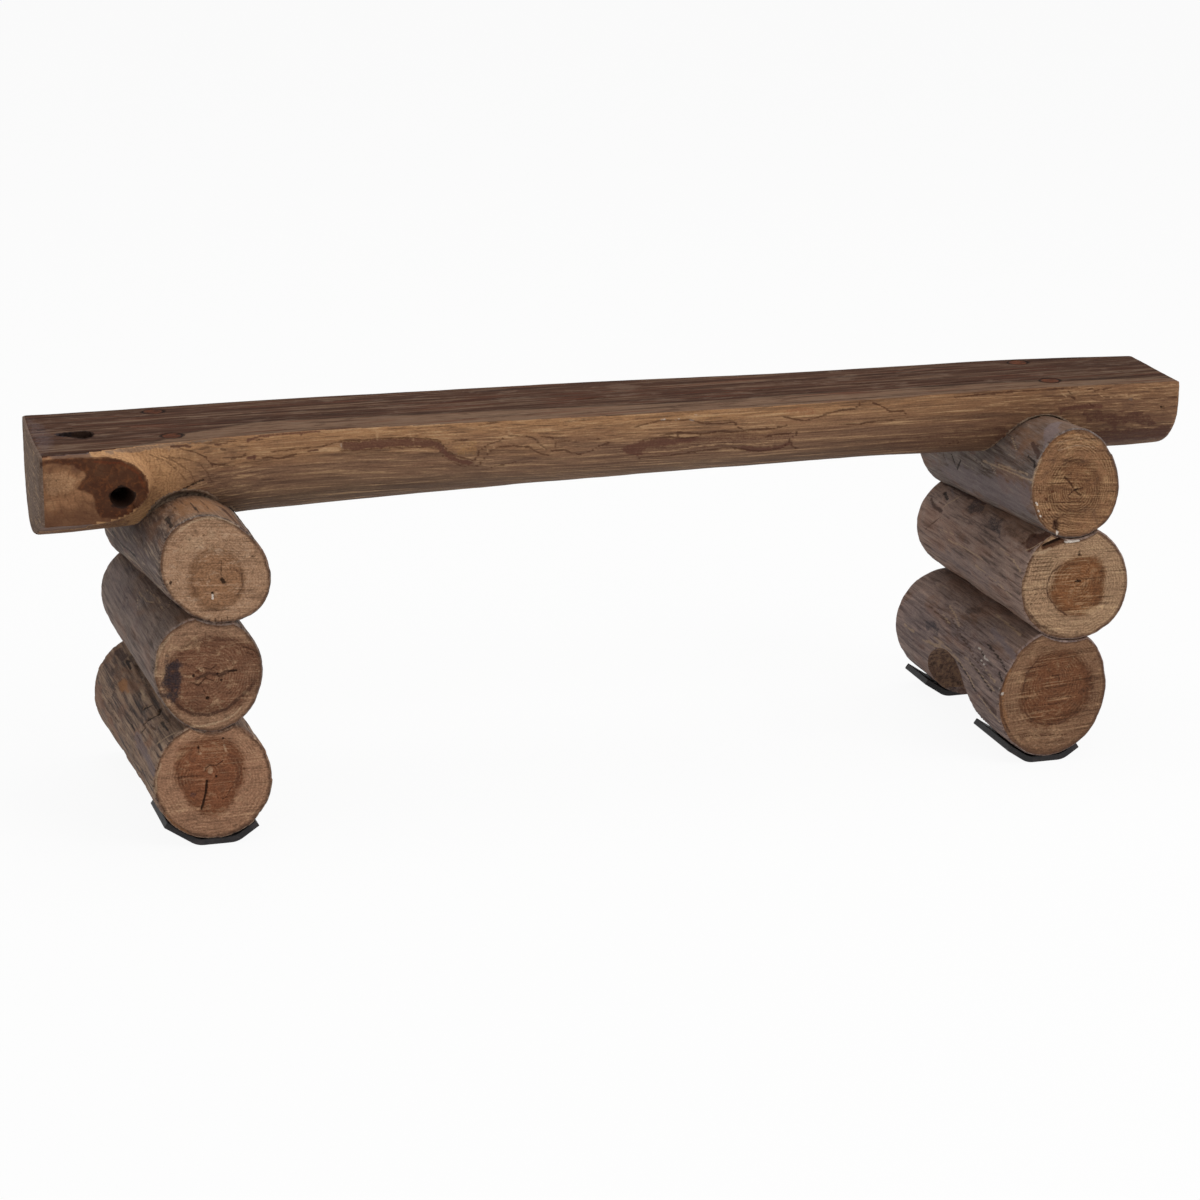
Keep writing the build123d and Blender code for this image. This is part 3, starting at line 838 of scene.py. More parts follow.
@dataclass
class SeatBeam:
    """The seat: a crooked beam, sawn flat on top, coped over both top logs.

    Args:
        tops: the top log of each stack, with its saddle height and the flare of its cope.
        plugs: the places of the plugs.
        front_marks: cracks and galleries on the round, as x and angle in degrees.
        top_marks: on the sawn top, as x and y.
        stub_marks: on the sawn branch, as x and height.
        heart_line: where the heart meets the sapwood on the top, as x and y.
    """

    tops: tuple
    plugs: tuple
    front_marks: tuple = ()
    top_marks: tuple = ()
    stub_marks: tuple = ()
    seed: int = 400
    columns: int = 194
    end_rows: int = 12
    heart_line: tuple = (
        (-703, -90), (-640, -80), (-600, -64), (-560, -44), (-530, -22), (-490, -6), (-425, 12),
        (-349, 8), (-194, -6), (-13, -21), (65, -30), (145, -30), (300, -33), (511, -40),
        (581, -50), (703, -70),
    )

    def rings(self) -> Array:
        """Places of the rings along the beam, closest at the stub, the copes and the plugs."""
        half = BENCH_LENGTH / 2
        runs = ((-half + 1.5, -460, 2.1), (-460, 440, 3.55), (440, 625, 2.1), (625, half - 1.5, 3.0))
        parts = [np.linspace(a, b, int((b - a) / step), endpoint=False) for a, b, step in runs]
        return np.append(np.concatenate(parts), half - 1.5)

    def relief_at(self, x: Array, turn: Array) -> Array:
        """How far the round stands out: swells, bumps, and fine ridges along the grain."""
        place = np.stack([x, BEAM_ROUND * np.cos(turn), BEAM_ROUND * np.sin(turn)], axis=-1)
        swell = fractal(place / np.array([110.0, 50.0, 50.0]), self.seed, 2) * 0.9
        bumps = fractal(place / np.array([30.0, 14.0, 14.0]), self.seed + 5, 2) * 0.3
        ridges = lattice(place / np.array([60.0, 3.2, 3.2]), self.seed + 9) * 0.25
        return swell + bumps + ridges - 0.4

    def round_at(self, x: Array, turn: Array) -> tuple[Array, Array]:
        """The beam's y and z before it is coped: its round with the stub, sawn flat on top.

        The stub joins by the greater of the two reaches from the heart, rounded over, and is cut
        off at its sawn face. The sawn top is the lesser of the round and the saw's plane.
        """
        middle, heart, radius = BEAM.values(x)
        reach = radius + self.relief_at(x, turn)
        stub = stub_reach(x, turn, middle, heart)
        swollen = soft_max(reach, stub, 7.0)
        reach = np.where(stub > 0, np.maximum(reach, swollen), reach)
        y = middle + reach * np.cos(turn)
        z = heart + reach * np.sin(turn)
        y = np.where((x < STUB_X + 100) & (y < STUB_FACE_Y), STUB_FACE_Y + 0.02 * (y - STUB_FACE_Y), y)
        place = np.stack([x / 90.0, y / 7.0, y * 0], axis=-1)
        saw = lattice(place, self.seed + 3) * 0.12
        waves = fractal(np.stack([x / 160.0, y / 70.0, y * 0], axis=-1), self.seed + 4, 2) * 0.2
        return y, soft_min(z, SEAT_TOP - 0.35 + saw + waves, TOP_EDGE_ROUND)

    def cope_level(self, x: Array, y: Array) -> Array:
        """Height of the copes' roofs over a place, or zero away from them.

        Inside, the roof is the log's round, but no higher than the saddle. At each face of the
        beam it is the log's round grown by the eased mouth, which shrinks inwards.
        """
        roof = np.zeros(np.shape(x))
        for shape, saddle, flare in self.tops:
            reach = max(shape.front.half_width, shape.back.half_width) + COPE_REACH
            beside = np.abs(x - shape.line_x - COPE_LEAN) < reach
            for grow_at_face in (False, True):
                if grow_at_face:
                    middle, heart, radius = BEAM.values(np.array(shape.line_x * 1.0))
                    half = np.sqrt(radius**2 - (shape.crown(0.0) - heart) ** 2)
                    inset = half - np.abs(y - middle)
                    grow = mix(flare, SCOOP_GAP, np.clip((inset + FLARE_DEPTH / 2) / FLARE_DEPTH, 0, 1.0))
                    level = shape.level(x, y, grow, 1.0)
                    level = np.where(inset < FLARE_DEPTH / 2, level, 0.0)
                else:
                    grow = SCOOP_GAP
                    level = np.minimum(shape.level(x, y, grow, 1.0), saddle)
                mid_x, mid_z, half_width, _, _, _ = shape.values(y)
                over = beside & (np.abs(x - mid_x) < half_width + grow) & (level > mid_z + 1)
                roof = np.maximum(roof, np.where(over, level, 0.0))
        return roof

    def skin(self) -> Skin:
        """The whole closed surface of the beam."""
        row_x = self.rings()
        u = np.arange(self.columns) / self.columns
        around = TAU * u + FRONT_SHARE * np.sin(TAU * u)
        x, turn = np.meshgrid(row_x, around, indexing="ij")
        y, z = self.round_at(x, turn)
        roof = self.cope_level(x, y)
        low = np.sin(turn) < 0
        gap = np.where(low & (roof > 0), roof - z, -20.0)
        drift, moved, near = snap(gap)
        drift[0] = drift[-1] = 0
        step_x = np.gradient(row_x)[:, None]
        step_turn = TAU / self.columns * (1 + FRONT_SHARE * np.cos(TAU * u))[None, :]
        x = x + drift * step_x
        turn = turn + moved * step_turn
        angle = np.degrees(turn) % 360
        y, z = self.round_at(x, turn)
        roof = self.cope_level(x, y)
        coped = low & (roof > 0) & ((roof > z) | (near & (np.abs(roof - z) < NEAR_CUT)))
        on_top = z > SEAT_TOP - TOP_BAND
        on_stub = (y < STUB_FACE_Y + 0.4) & (x < STUB_X + STUB_WIDTH) & (z > STUB_FOOT)
        on_stub |= (x < STUB_X) & (np.cos(turn) < -0.5) & ~on_top & ~coped
        place = np.stack([x, y, z], axis=-1)
        rough = 0.6 * fractal(place / 5.0, self.seed + 60, 2)
        fields, depth = marked(self.front_marks, x, angle, rough, BEAM_DEGREE)
        on_round = ~on_top & ~on_stub & ~coped
        y = y - np.where(on_round, depth, 0) * np.cos(turn)
        z = z - np.where(on_round, depth, 0) * np.sin(turn)
        top_fields, top_depth = marked(self.top_marks, x, y, 0.3 * rough)
        z = z - np.where(on_top, top_depth, 0)
        stub_fields, stub_depth = marked(self.stub_marks, x, z, 0.4 * rough)
        y = y + np.where(on_stub, stub_depth, 0)
        z = np.where(coped, roof, z)
        for key in fields:
            here = np.where(on_stub, stub_fields[key], fields[key] * on_round)
            fields[key] = np.where(on_top, top_fields[key], here)
        heart_x, heart_y = np.array(self.heart_line, dtype=float).T
        fields["sap"] = y - spline(heart_x, heart_y, x)
        # height under the seat, which the beam's round turns into tone: partly its wood, partly painted light
        # and shade
        fields["lift"] = z - (SEAT_TOP - LIFT_HEIGHT)
        fields["heart"] = np.sin(turn)
        fields["swirl"] = np.hypot(x - STUB_X, (angle - SWIRL_ANGLE) * SWIRL_DEGREE)
        for end_x, worn in ((-BENCH_LENGTH / 2, LEFT_END_ROUND), (BENCH_LENGTH / 2, RIGHT_END_ROUND)):
            near = np.clip(1 - np.abs(x - end_x) / worn, 0.0, 1.0)
            inset = worn * (1 - np.sqrt(1 - near * near))
            inset = inset * (0.45 + 0.55 * ease(0.5, -0.3, np.cos(turn)))
            middle, heart, radius = BEAM.values(x)
            y = y + inset * (middle - y) / radius
            z = z + inset * (heart - 30 - z) / radius
        away = np.clip(1 - (x + BENCH_LENGTH / 2) / SKEW_FADE, 0, 1)
        skewed = x + away * left_skew(y)
        points = np.stack([skewed, y, z], axis=-1)
        for plug_x, plug_y in self.plugs:
            bore = Bore((plug_x, plug_y), (PLUG_RADIUS + BORE_FIT,) * 2, SEAT_TOP - COUNTERBORE_DEPTH)
            inside = bore.sink(points, on_top)
            away = np.hypot(x - plug_x, y - plug_y)
            halo = ease(*PLUG_HALO, away) * on_top
            fields["dark"] = np.maximum(fields["dark"], np.maximum(inside, halo * 0.8))
        hollow = Bore(
            HOLLOW_AT, HOLLOW_HALF, STUB_FACE_Y + HOLLOW_DEPTH,
            reach=8, plane=(0, 2, 1), inwards=1.0, floor_share=0.45, lip=0.8,
        )
        inside = hollow.sink(points, on_stub)
        # painted shade: the hollow's walls and floor are painted near black, the dark inside the hole
        fields["dark"] = np.maximum(fields["dark"], inside)
        finish = np.where(on_stub, BeamBand.STUB, BeamBand.ROUND)
        finish = np.where(coped, BeamBand.COPE, np.where(on_top, BeamBand.TOP, finish))
        return self.closed(points, fields, finish)

    def closed(self, points: Array, fields: dict[str, Array], finish: Array) -> Skin:
        """Adds the two sawn ends: rings that shrink evenly to a point on the heart."""
        share = np.concatenate([[1.0], np.linspace(1.0, 0.0, self.end_rows + 1)[1:-1]])
        caps = []
        for ring, outwards in ((points[0], -1.0), (points[-1], 1.0)):
            heart = np.array([0.0, ring[:, 1].mean() + 6, ring[:, 2].mean()])
            rim = 1 - 1.6 / np.hypot(ring[:, 1] - heart[1], ring[:, 2] - heart[2])
            flat = heart + (share[:, None] * rim)[..., None] * (ring - heart)
            skew = left_skew(flat[..., 1]) if outwards < 0 else 0.0
            place = np.stack([flat[..., 1] * 0, flat[..., 1], flat[..., 2]], axis=-1)
            worn = 0.2 + 0.2 * lattice(place / np.array([1.0, 40.0, 2.6]), self.seed + 71)
            flat[..., 0] = outwards * (BENCH_LENGTH / 2 - worn) + skew
            pole = heart.copy()
            pole[0] = outwards * (BENCH_LENGTH / 2 - 0.3)
            pole[0] += left_skew(heart[1]) if outwards < 0 else 0.0
            caps.append((flat, pole))
        (left, left_pole), (right, right_pole) = caps
        rows = len(share)
        marks = {}
        for key, values in fields.items():
            pad = np.zeros((rows, values.shape[1]))
            first, last = pad + values[0], pad + values[-1]
            if key in STAINS_AND_PAINTED_SHADE:
                first, last = pad, pad
            if key == "heart":
                first, last = 1 - share[::-1, None] + pad, 1 - share[:, None] + pad
            marks[key] = (np.concatenate([first, values, last]), 0.0, 0.0)
        ring_share = np.ones(points.shape[:2])
        cap_share = share[:, None] * np.ones(points.shape[1])
        marks["ring"] = (np.concatenate([cap_share[::-1], ring_share, cap_share]), 0.0, 0.0)
        everything = np.concatenate([left[::-1], points, right])
        face = np.stack([finish[:-1], finish[1:]])
        face = np.concatenate([face, np.roll(face, -1, axis=2)])
        coped = (face == BeamBand.COPE).any(axis=0)
        bands = np.full((len(everything) + 1, everything.shape[1]), BeamBand.ROUND, dtype=int)
        bands[rows + 1 : rows + len(points)] = np.where(coped, BeamBand.COPE, face.min(axis=0))
        bands[: rows + 2] = BeamBand.END
        bands[rows + len(points) + 1 :] = BeamBand.END
        return Skin(everything, (left_pole, right_pole), bands, marks)


@dataclass
class FootPad:
    """A strip of rubber with its ends bent up as wings, under one end of a bottom log.

    Args:
        name: the node that it replaces.
        under: the log that stands on it.
        shift: how far right of the log's line its middle is.
        length: its size along the log.
        wings: length of the left and the right wing.
        at_back: whether it is at the log's back end.
    """

    name: str
    under: LogShape
    shift: float
    length: float
    wings: tuple[float, float]
    at_back: bool = False
    rows: int = 44

    def centre_line(self) -> Array:
        """The strip's middle layer in X and Z: a flat with an arc and a straight wing each side."""
        tangent = PAD_BEND_RADIUS * np.tan(PAD_BEND / 2)
        lines = []
        for side, wing in zip((-1.0, 1.0), self.wings):
            turn = np.linspace(0, PAD_BEND, 7)
            start = PAD_FLAT / 2 - tangent
            arc_x = start + PAD_BEND_RADIUS * np.sin(turn)
            arc_z = PAD_THICKNESS / 2 + PAD_BEND_RADIUS * (1 - np.cos(turn))
            run = np.linspace(0, wing - tangent, 10)[1:]
            x = np.concatenate([arc_x, arc_x[-1] + run * np.cos(PAD_BEND)])
            z = np.concatenate([arc_z, arc_z[-1] + run * np.sin(PAD_BEND)])
            lines.append(np.stack([side * x, z], axis=-1))
        return np.concatenate([lines[0][::-1], lines[1]])

    def piece(self, material: bpy.types.Material) -> bpy.types.Object:
        """The strip, its upper side trimmed to the log that stands on it, with worn edges.

        The section is the middle layer moved half a thickness to both sides along its normal, and
        is carried straight along the log. Ladders of faces close its two ends.

        Args:
            material: the rubber.

        Returns:
            The object.
        """
        line = self.centre_line()
        run = np.gradient(line, axis=0)
        run /= np.linalg.norm(run, axis=1, keepdims=True)
        normal = np.stack([-run[:, 1], run[:, 0]], axis=-1) * PAD_THICKNESS / 2
        ring = np.concatenate([line - normal, (line + normal)[::-1]])
        count = len(line)
        end = self.under.length / 2 - PAD_END_INSET
        low, high = (end - self.length, end) if self.at_back else (-end, self.length - end)
        y = np.linspace(low, high, self.rows)
        points = np.zeros((self.rows, 2 * count, 3))
        points[..., 0] = ring[:, 0] + self.under.line_x + self.shift
        points[..., 1] = y[:, None]
        points[..., 2] = ring[:, 1]
        over = points[:, count:]
        level = self.under.level(over[..., 0], over[..., 1], SCOOP_GAP, -1.0)
        worn = np.abs(fractal(over / 6.0, 77, 2)) * 0.25
        over[..., 2] = np.minimum(over[..., 2], level) - worn
        index = np.arange(points[..., 0].size).reshape(self.rows, -1)
        after = np.roll(index, -1, axis=1)
        quads = np.stack([index[:-1], after[:-1], after[1:], index[1:]], axis=-1).reshape(-1, 4)
        steps = np.arange(count - 1)
        ladder = np.stack([steps, 2 * count - 1 - steps, 2 * count - 2 - steps, steps + 1], axis=-1)
        far_ladder = ladder[:, ::-1] + index[-1, 0]
        name = self.name + "_dressed"
        mesh = bpy.data.meshes.new(name)
        faces = np.concatenate([quads, ladder, far_ladder])
        mesh.from_pydata((points.reshape(-1, 3) * MM).tolist(), [], faces.tolist())
        mesh.polygons.foreach_set("use_smooth", np.ones(len(mesh.polygons), dtype=bool))
        mesh.set_sharp_from_angle(angle=np.radians(40))
        mesh.materials.append(material)
        made = bpy.data.objects.new(name, mesh)
        bpy.context.scene.collection.objects.link(made)
        bevel = made.modifiers.new("eased edges", "BEVEL")
        bevel.width = 0.9 * MM
        bevel.segments = 2
        bevel.limit_method = "ANGLE"
        bevel.angle_limit = np.radians(50)
        return made


@dataclass
class Plug:
    """A wooden plug over an upper nut: a slightly tapering pin with an eased top edge."""

    name: str
    x: float
    y: float
    rings: int = 96

    def skin(self) -> Skin:
        """A profile of radius and height, turned about the plug's middle."""
        top = SEAT_TOP - 0.25
        top_edge = [(2, 0), (5, 0), (8, 0), (10.5, 0), (11.7, 0), (12.2, 0.12), (12.45, 0.5)]
        wall = [(12.4, 4), (12.3, 9)]
        foot = [(12.1, PLUG_HEIGHT - 0.5), (11.6, PLUG_HEIGHT), (6, PLUG_HEIGHT)]
        radius, drop = np.array(top_edge + wall + foot, dtype=float).T
        turn = np.arange(self.rings) * TAU / self.rings
        x = self.x + radius[:, None] * np.cos(turn)
        y = self.y + radius[:, None] * np.sin(turn)
        z = top - drop[:, None] + np.zeros(turn.shape)
        saw = lattice(np.stack([x * 0, y / 2.0, z * 0], axis=-1), 9) * 0.08
        z = z + np.where(drop[:, None] < 0.1, saw - 0.08, 0.0)
        poles = (np.array([self.x, self.y, top]), np.array([self.x, self.y, top - PLUG_HEIGHT]))
        share = (radius[:, None] / PLUG_RADIUS) * np.ones(turn.shape)
        finish = np.zeros((len(radius) + 1, self.rings), dtype=int)
        return Skin(np.stack([x, y, z], axis=-1), poles, finish, {"ring": (share, 0.0, 0.0)})


# ---- Finishes ----


def tone(code: str) -> tuple[float, float, float, float]:
    """A colour written as six hexadecimal digits, as the shader wants it."""
    shown = np.array([int(code[i : i + 2], 16) / 255 for i in (0, 2, 4)])
    linear = np.where(shown <= 0.04045, shown / 12.92, ((shown + 0.055) / 1.055) ** 2.4)
    return (*(float(v) for v in linear), 1.0)


class Wire:
    """A value in a shader: sums on it add Math nodes."""

    def __init__(self, dresser: "Dresser", socket: bpy.types.NodeSocket) -> None:
        """Holds the socket and the material that it belongs to."""
        self.dresser = dresser
        self.socket = socket

    def sum(self, operation: str, *values: "Wire | float") -> "Wire":
        """One Math node on this value and others."""
        return self.dresser.node("ShaderNodeMath", {"operation": operation}, dict(enumerate(values)))

    def __add__(self, other: "Wire | float") -> "Wire":
        """This plus other."""
        return self.sum("ADD", self, other)

    def __sub__(self, other: "Wire | float") -> "Wire":
        """This less other."""
        return self.sum("SUBTRACT", self, other)

    def __rsub__(self, other: float) -> "Wire":
        """Other less this."""
        return self.sum("SUBTRACT", other, self)

    def __mul__(self, other: "Wire | float") -> "Wire":
        """This times other."""
        return self.sum("MULTIPLY", self, other)

    __radd__ = __add__
    __rmul__ = __mul__

    def sine(self) -> "Wire":
        """The sine of this."""
        return self.sum("SINE", self)

    def most(self, other: "Wire | float") -> "Wire":
        """The greater of this and other."""
        return self.sum("MAXIMUM", self, other)

    def step(self, low: float, high: float) -> "Wire":
        """A smooth step from 0 at low to 1 at high; high may be the lower one."""
        given = {"Value": self, "From Min": low, "From Max": high, "To Min": 0.0, "To Max": 1.0}
        return self.dresser.node("ShaderNodeMapRange", {"interpolation_type": "SMOOTHSTEP"}, given)


class Dresser:
    """Builds one material's nodes."""

    def __init__(self, name: str) -> None:
        """Starts a material with one principled shader."""
        self.material = bpy.data.materials.new(name)
        self.material.use_nodes = True
        self.tree = self.material.node_tree
        self.tree.nodes.clear()
        self.place = self.node("ShaderNodeTexCoord", {}, {}, "Object")

    @classmethod
    def for_tree(cls, tree: bpy.types.NodeTree) -> "Dresser":
        """A dresser for a tree that isn't a material's."""
        made = cls.__new__(cls)
        made.tree = tree
        return made

    def node(self, kind: str, settings: dict, inputs: dict, output: str | int = 0) -> Wire:
        """Adds a node.

        Args:
            kind: its type.
            settings: its own properties, set first.
            inputs: a value or Wire for each of its sockets.
            output: which of its outputs is wanted.

        Returns:
            That output.
        """
        made = self.tree.nodes.new(kind)
        for key, value in settings.items():
            if key == "stops":
                self.stops(made.color_ramp, value)
            else:
                setattr(made, key, value)
        for key, value in inputs.items():
            if isinstance(value, Wire):
                self.tree.links.new(value.socket, made.inputs[key])
            else:
                made.inputs[key].default_value = value
        return Wire(self, made.outputs[output])

    def stops(self, ramp: bpy.types.ColorRamp, stops: tuple) -> None:
        """Gives a colour ramp its places and colours."""
        while len(ramp.elements) < len(stops):
            ramp.elements.new(0.5)
        for element, (at, code) in zip(ramp.elements, stops):
            element.position = at
            element.color = tone(code)

    def ramp(self, value: Wire, *stops: tuple) -> Wire:
        """A colour read off a ramp of places and colours."""
        return self.node("ShaderNodeValToRGB", {"stops": stops}, {"Fac": value}, "Color")

    def field(self, name: str) -> Wire:
        """A value kept on the mesh's points."""
        return self.node("ShaderNodeAttribute", {"attribute_name": name}, {}, "Fac")

    def axis(self, name: str) -> Wire:
        """X, Y or Z of the place on the object."""
        return self.node("ShaderNodeSeparateXYZ", {}, {0: self.place}, name)

    def stretched(self, pitch: tuple[float, float, float], turn: tuple = (0.0, 0.0, 0.0)) -> Wire:
        """The place on the object divided by a pitch in millimetres along each axis, after a turn."""
        turned = self.node("ShaderNodeMapping", {}, {"Vector": self.place, "Rotation": turn})
        scale = tuple(1 / (p * MM) for p in pitch)
        return self.node("ShaderNodeMapping", {}, {"Vector": turned, "Scale": scale})

    def noise(
        self,
        pitch: tuple[float, float, float],
        detail: float = 2.0,
        rough: float = 0.5,
        turn: tuple = (0.0, 0.0, 0.0),
        warp: float = 0.0,
    ) -> Wire:
        """Noise about 0 to 1, with its own pitch along each axis in millimetres."""
        given = {"Vector": self.stretched(pitch, turn), "Scale": 1.0, "Detail": detail, "Roughness": rough}
        return self.node("ShaderNodeTexNoise", {}, {**given, "Distortion": warp}, "Fac")

    def blend(self, a: "Wire | tuple", b: "Wire | tuple", share: Wire | float) -> Wire:
        """A colour mixed from two."""
        return self.node("ShaderNodeMix", {"data_type": "RGBA"}, {0: share, 6: a, 7: b}, 2)

    def finish(
        self,
        colour: Wire | tuple,
        rough: Wire | float,
        height: Wire | None = None,
        relief: float = 0.5,
        fixed: dict | None = None,
    ) -> bpy.types.Material:
        """Joins everything to the shader.

        Args:
            colour: base colour.
            rough: roughness.
            height: for the bump, in units of relief.
            relief: millimetres for a height of one.
            fixed: constants for the shader's other sockets.

        Returns:
            The material.
        """
        inputs = {"Base Color": colour, "Roughness": rough, **(fixed or {})}
        if height is not None:
            bump = {"Height": height, "Distance": relief * MM, "Strength": 1.0}
            inputs["Normal"] = self.node("ShaderNodeBump", {}, bump)
        shader = self.node("ShaderNodeBsdfPrincipled", {}, inputs)
        out = self.tree.nodes.new("ShaderNodeOutputMaterial")
        self.tree.links.new(shader.socket, out.inputs["Surface"])
        return self.material


class Coat:
    """A colour built up in layers, each over the last."""

    def __init__(self, d: Dresser, colour: Wire | tuple) -> None:
        """Starts with what lies under all of them."""
        self.d = d
        self.colour = colour

    def lay(self, code: str, share: Wire | float) -> None:
        """Lays a tone over the rest by a share."""
        self.colour = self.d.blend(self.colour, tone(code), share)

    def shade(self, factor: Wire) -> None:
        """Makes the whole lighter or darker by a factor."""
        self.colour = self.d.node(
            "ShaderNodeVectorMath", {"operation": "SCALE"}, {0: self.colour, "Scale": factor}
        )

    def marks(self, **own: str) -> None:
        """Lays the marks kept on the mesh over it, with edges broken up by fine noise.

        Args:
            own: colours for kinds of mark whose colour differs on this surface.
        """
        rough = (self.d.noise((2.4, 2.4, 2.4), 3.0, 0.65) - 0.5) * 0.9
        for kind, (code, strength) in STAINS_AND_PAINTED_SHADE.items():
            share = (self.d.field(kind) + rough).step(0.25, 0.95)
            self.lay(own.get(kind, code), share * strength)


@dataclass(frozen=True)
class EndGrain:
    """The sawn end of a log: sapwood round a darker heart, growth rings and saw marks."""

    name: str
    sap: str = "957458"
    heart: str = "70492f"
    rim: str = "5a4234"
    light: str = "c3a27f"
    line: str = "38261c"
    fuzz: float = 0.12
    heart_share: float = 0.8
    edge_share: float = 0.3
    rings: float = 0.12
    ring_pitch: float = 0.055
    saw: float = 0.5
    saw_pitch: float = 2.1
    saw_tilt: float = -0.09
    mottle: float = 0.4

    def material(self) -> bpy.types.Material:
        """Heart by its outline, rippled; rings by the sine of the share of the way to the rim."""
        d = Dresser(self.name)
        share = d.field("ring")
        drift = d.noise((24, 24, 24), 3.0, 0.6) - 0.5
        fine = d.noise((4.5, 4.5, 4.5), 3.0, 0.65) - 0.5
        depth = d.field("heart") + drift * 0.3 + fine * 0.22
        heart = depth.step(-self.fuzz, self.fuzz)
        coat = Coat(d, tone(self.sap))
        coat.lay(self.heart, heart * self.heart_share)
        border = heart * (1 - depth.step(self.fuzz * 0.6, self.fuzz * 2.6))
        coat.lay(self.line, border * self.edge_share)
        flecks = d.noise((6, 6, 6), 4.0, 0.7, warp=0.5)
        coat.lay(self.line, flecks.step(0.52, 0.68) * (heart * 0.35 + 0.12))
        cloud = d.noise((17, 17, 13), 5.0, 0.7, warp=0.5)
        coat.lay(self.rim, cloud.step(0.5, 0.7) * self.mottle)
        coat.lay(self.light, (1 - cloud.step(0.3, 0.48)) * (self.mottle * 0.8))
        wobble = (share + drift * 0.17 + fine * 0.035) * (TAU / self.ring_pitch)
        ring = wobble.sine() * 0.5 + 0.5
        shown = d.noise((21, 21, 21), 2.0).step(0.36, 0.62)
        coat.lay(self.line, ring.step(0.3, 1.0) * shown * (self.rings * 1.6))
        coat.lay(self.light, ring.step(0.5, 0.0) * shown * self.rings)
        tilt = (0.0, self.saw_tilt, 0.0)
        lines = d.noise((65, 65, self.saw_pitch), 3.0, 0.6, tilt)
        broad = d.noise((90, 90, self.saw_pitch * 2.3), 2.0, 0.5, tilt)
        patch = d.noise((30, 30, 22), 2.0).step(0.34, 0.56)
        coat.lay(self.line, (1 - lines.step(0.33, 0.47)) * patch * self.saw)
        coat.lay(self.light, lines.step(0.53, 0.68) * patch * (self.saw * 0.8))
        coat.lay(self.line, (1 - broad.step(0.3, 0.45)) * (self.saw * 0.35))
        speck = d.noise((1.9, 1.9, 1.6), 2.0, 0.65)
        grit = d.noise((4.2, 4.2, 2.4), 4.0, 0.75)
        rim = share.step(0.93, 0.985) * (d.noise((9, 9, 9), 2.0).step(0.3, 0.6) * 0.5 + 0.45)
        coat.lay(self.rim, rim)
        coat.marks()
        coat.shade(speck * 1.4 + grit * 1.6 + lines * 0.3 - 0.63)
        height = lines * 0.8 + cloud * 0.4 + grit * 0.6 - d.field("dark") * 0.8
        return d.finish(coat.colour, 0.85, height, 0.8, {"Specular IOR Level": 0.06})


@dataclass(frozen=True)
class Flank:
    """The weathered round of a log: streaks along its grain, bark patches and insects' work."""

    name: str
    deep: str = "2b211d"
    dark: str = "493b35"
    base: str = "68574e"
    light: str = "8a7768"
    bright: str = "ad967f"
    warm: str = "7b5540"
    warmth: float = 0.4
    plate: str = "3a2e29"
    plates: float = 0.2
    contrast: float = 1.0
    fine: float = 0.45
    along: int = 1
    crown: str = "6f543f"
    crown_share: float = 0.4

    def pitch(self, across: float, along: float) -> tuple[float, float, float]:
        """A pitch that is long along the grain."""
        return tuple(along if axis == self.along else across for axis in range(3))

    def material(self) -> bpy.types.Material:
        """Streaks read off a ramp of five tones, with plates, warm clouds and fibres over them."""
        d = Dresser(self.name)
        streaks = d.noise(self.pitch(4.4, 80), 6.0, 0.66, warp=0.35)
        spread = 0.095 / self.contrast
        tones = (self.deep, self.dark, self.base, self.light, self.bright)
        places = (0.5 + spread * off for off in (-2.2, -1.0, 0.0, 1.0, 2.4))
        coat = Coat(d, d.ramp(streaks, *zip(places, tones)))
        cloud = d.noise(self.pitch(30, 80), 4.0, 0.6, warp=0.4)
        coat.lay(self.warm, cloud.step(0.48, 0.64) * self.warmth)
        coat.shade((1 - cloud.step(0.28, 0.5)) * -0.25 + 1.05)
        top = (d.field("heart") + (cloud - 0.5) * 1.2).step(0.5, 0.95)
        coat.lay(self.crown, top * self.crown_share)
        plates = d.noise(self.pitch(9, 40), 5.0, 0.65, warp=0.7)
        edge = plates.step(0.57, 0.61)
        coat.lay(self.plate, edge * self.plates)
        lip = edge * (1 - plates.step(0.61, 0.64))
        coat.lay(self.bright, lip * (self.plates * 0.4))
        fine = d.noise(self.pitch(1.8, 30), 4.0, 0.65, warp=0.2)
        calm = d.noise(self.pitch(36, 70), 3.0, 0.6).step(0.38, 0.6) * 0.8 + 0.2
        coat.lay(self.deep, (1 - fine.step(0.3, 0.44)) * self.fine)
        coat.lay(self.bright, fine.step(0.58, 0.72) * calm * (self.fine * 0.75))
        grain = d.noise((2.2, 3.4, 2.2), 4.0, 0.75)
        coat.marks()
        coat.shade(grain * 1.0 + 0.5)
        height = streaks * 0.7 + edge * self.plates * 0.8 + fine * 0.5 + grain * 0.2 - d.field("dark") * 0.8
        return d.finish(coat.colour, 0.75, height, 1.0, {"Specular IOR Level": 0.14})


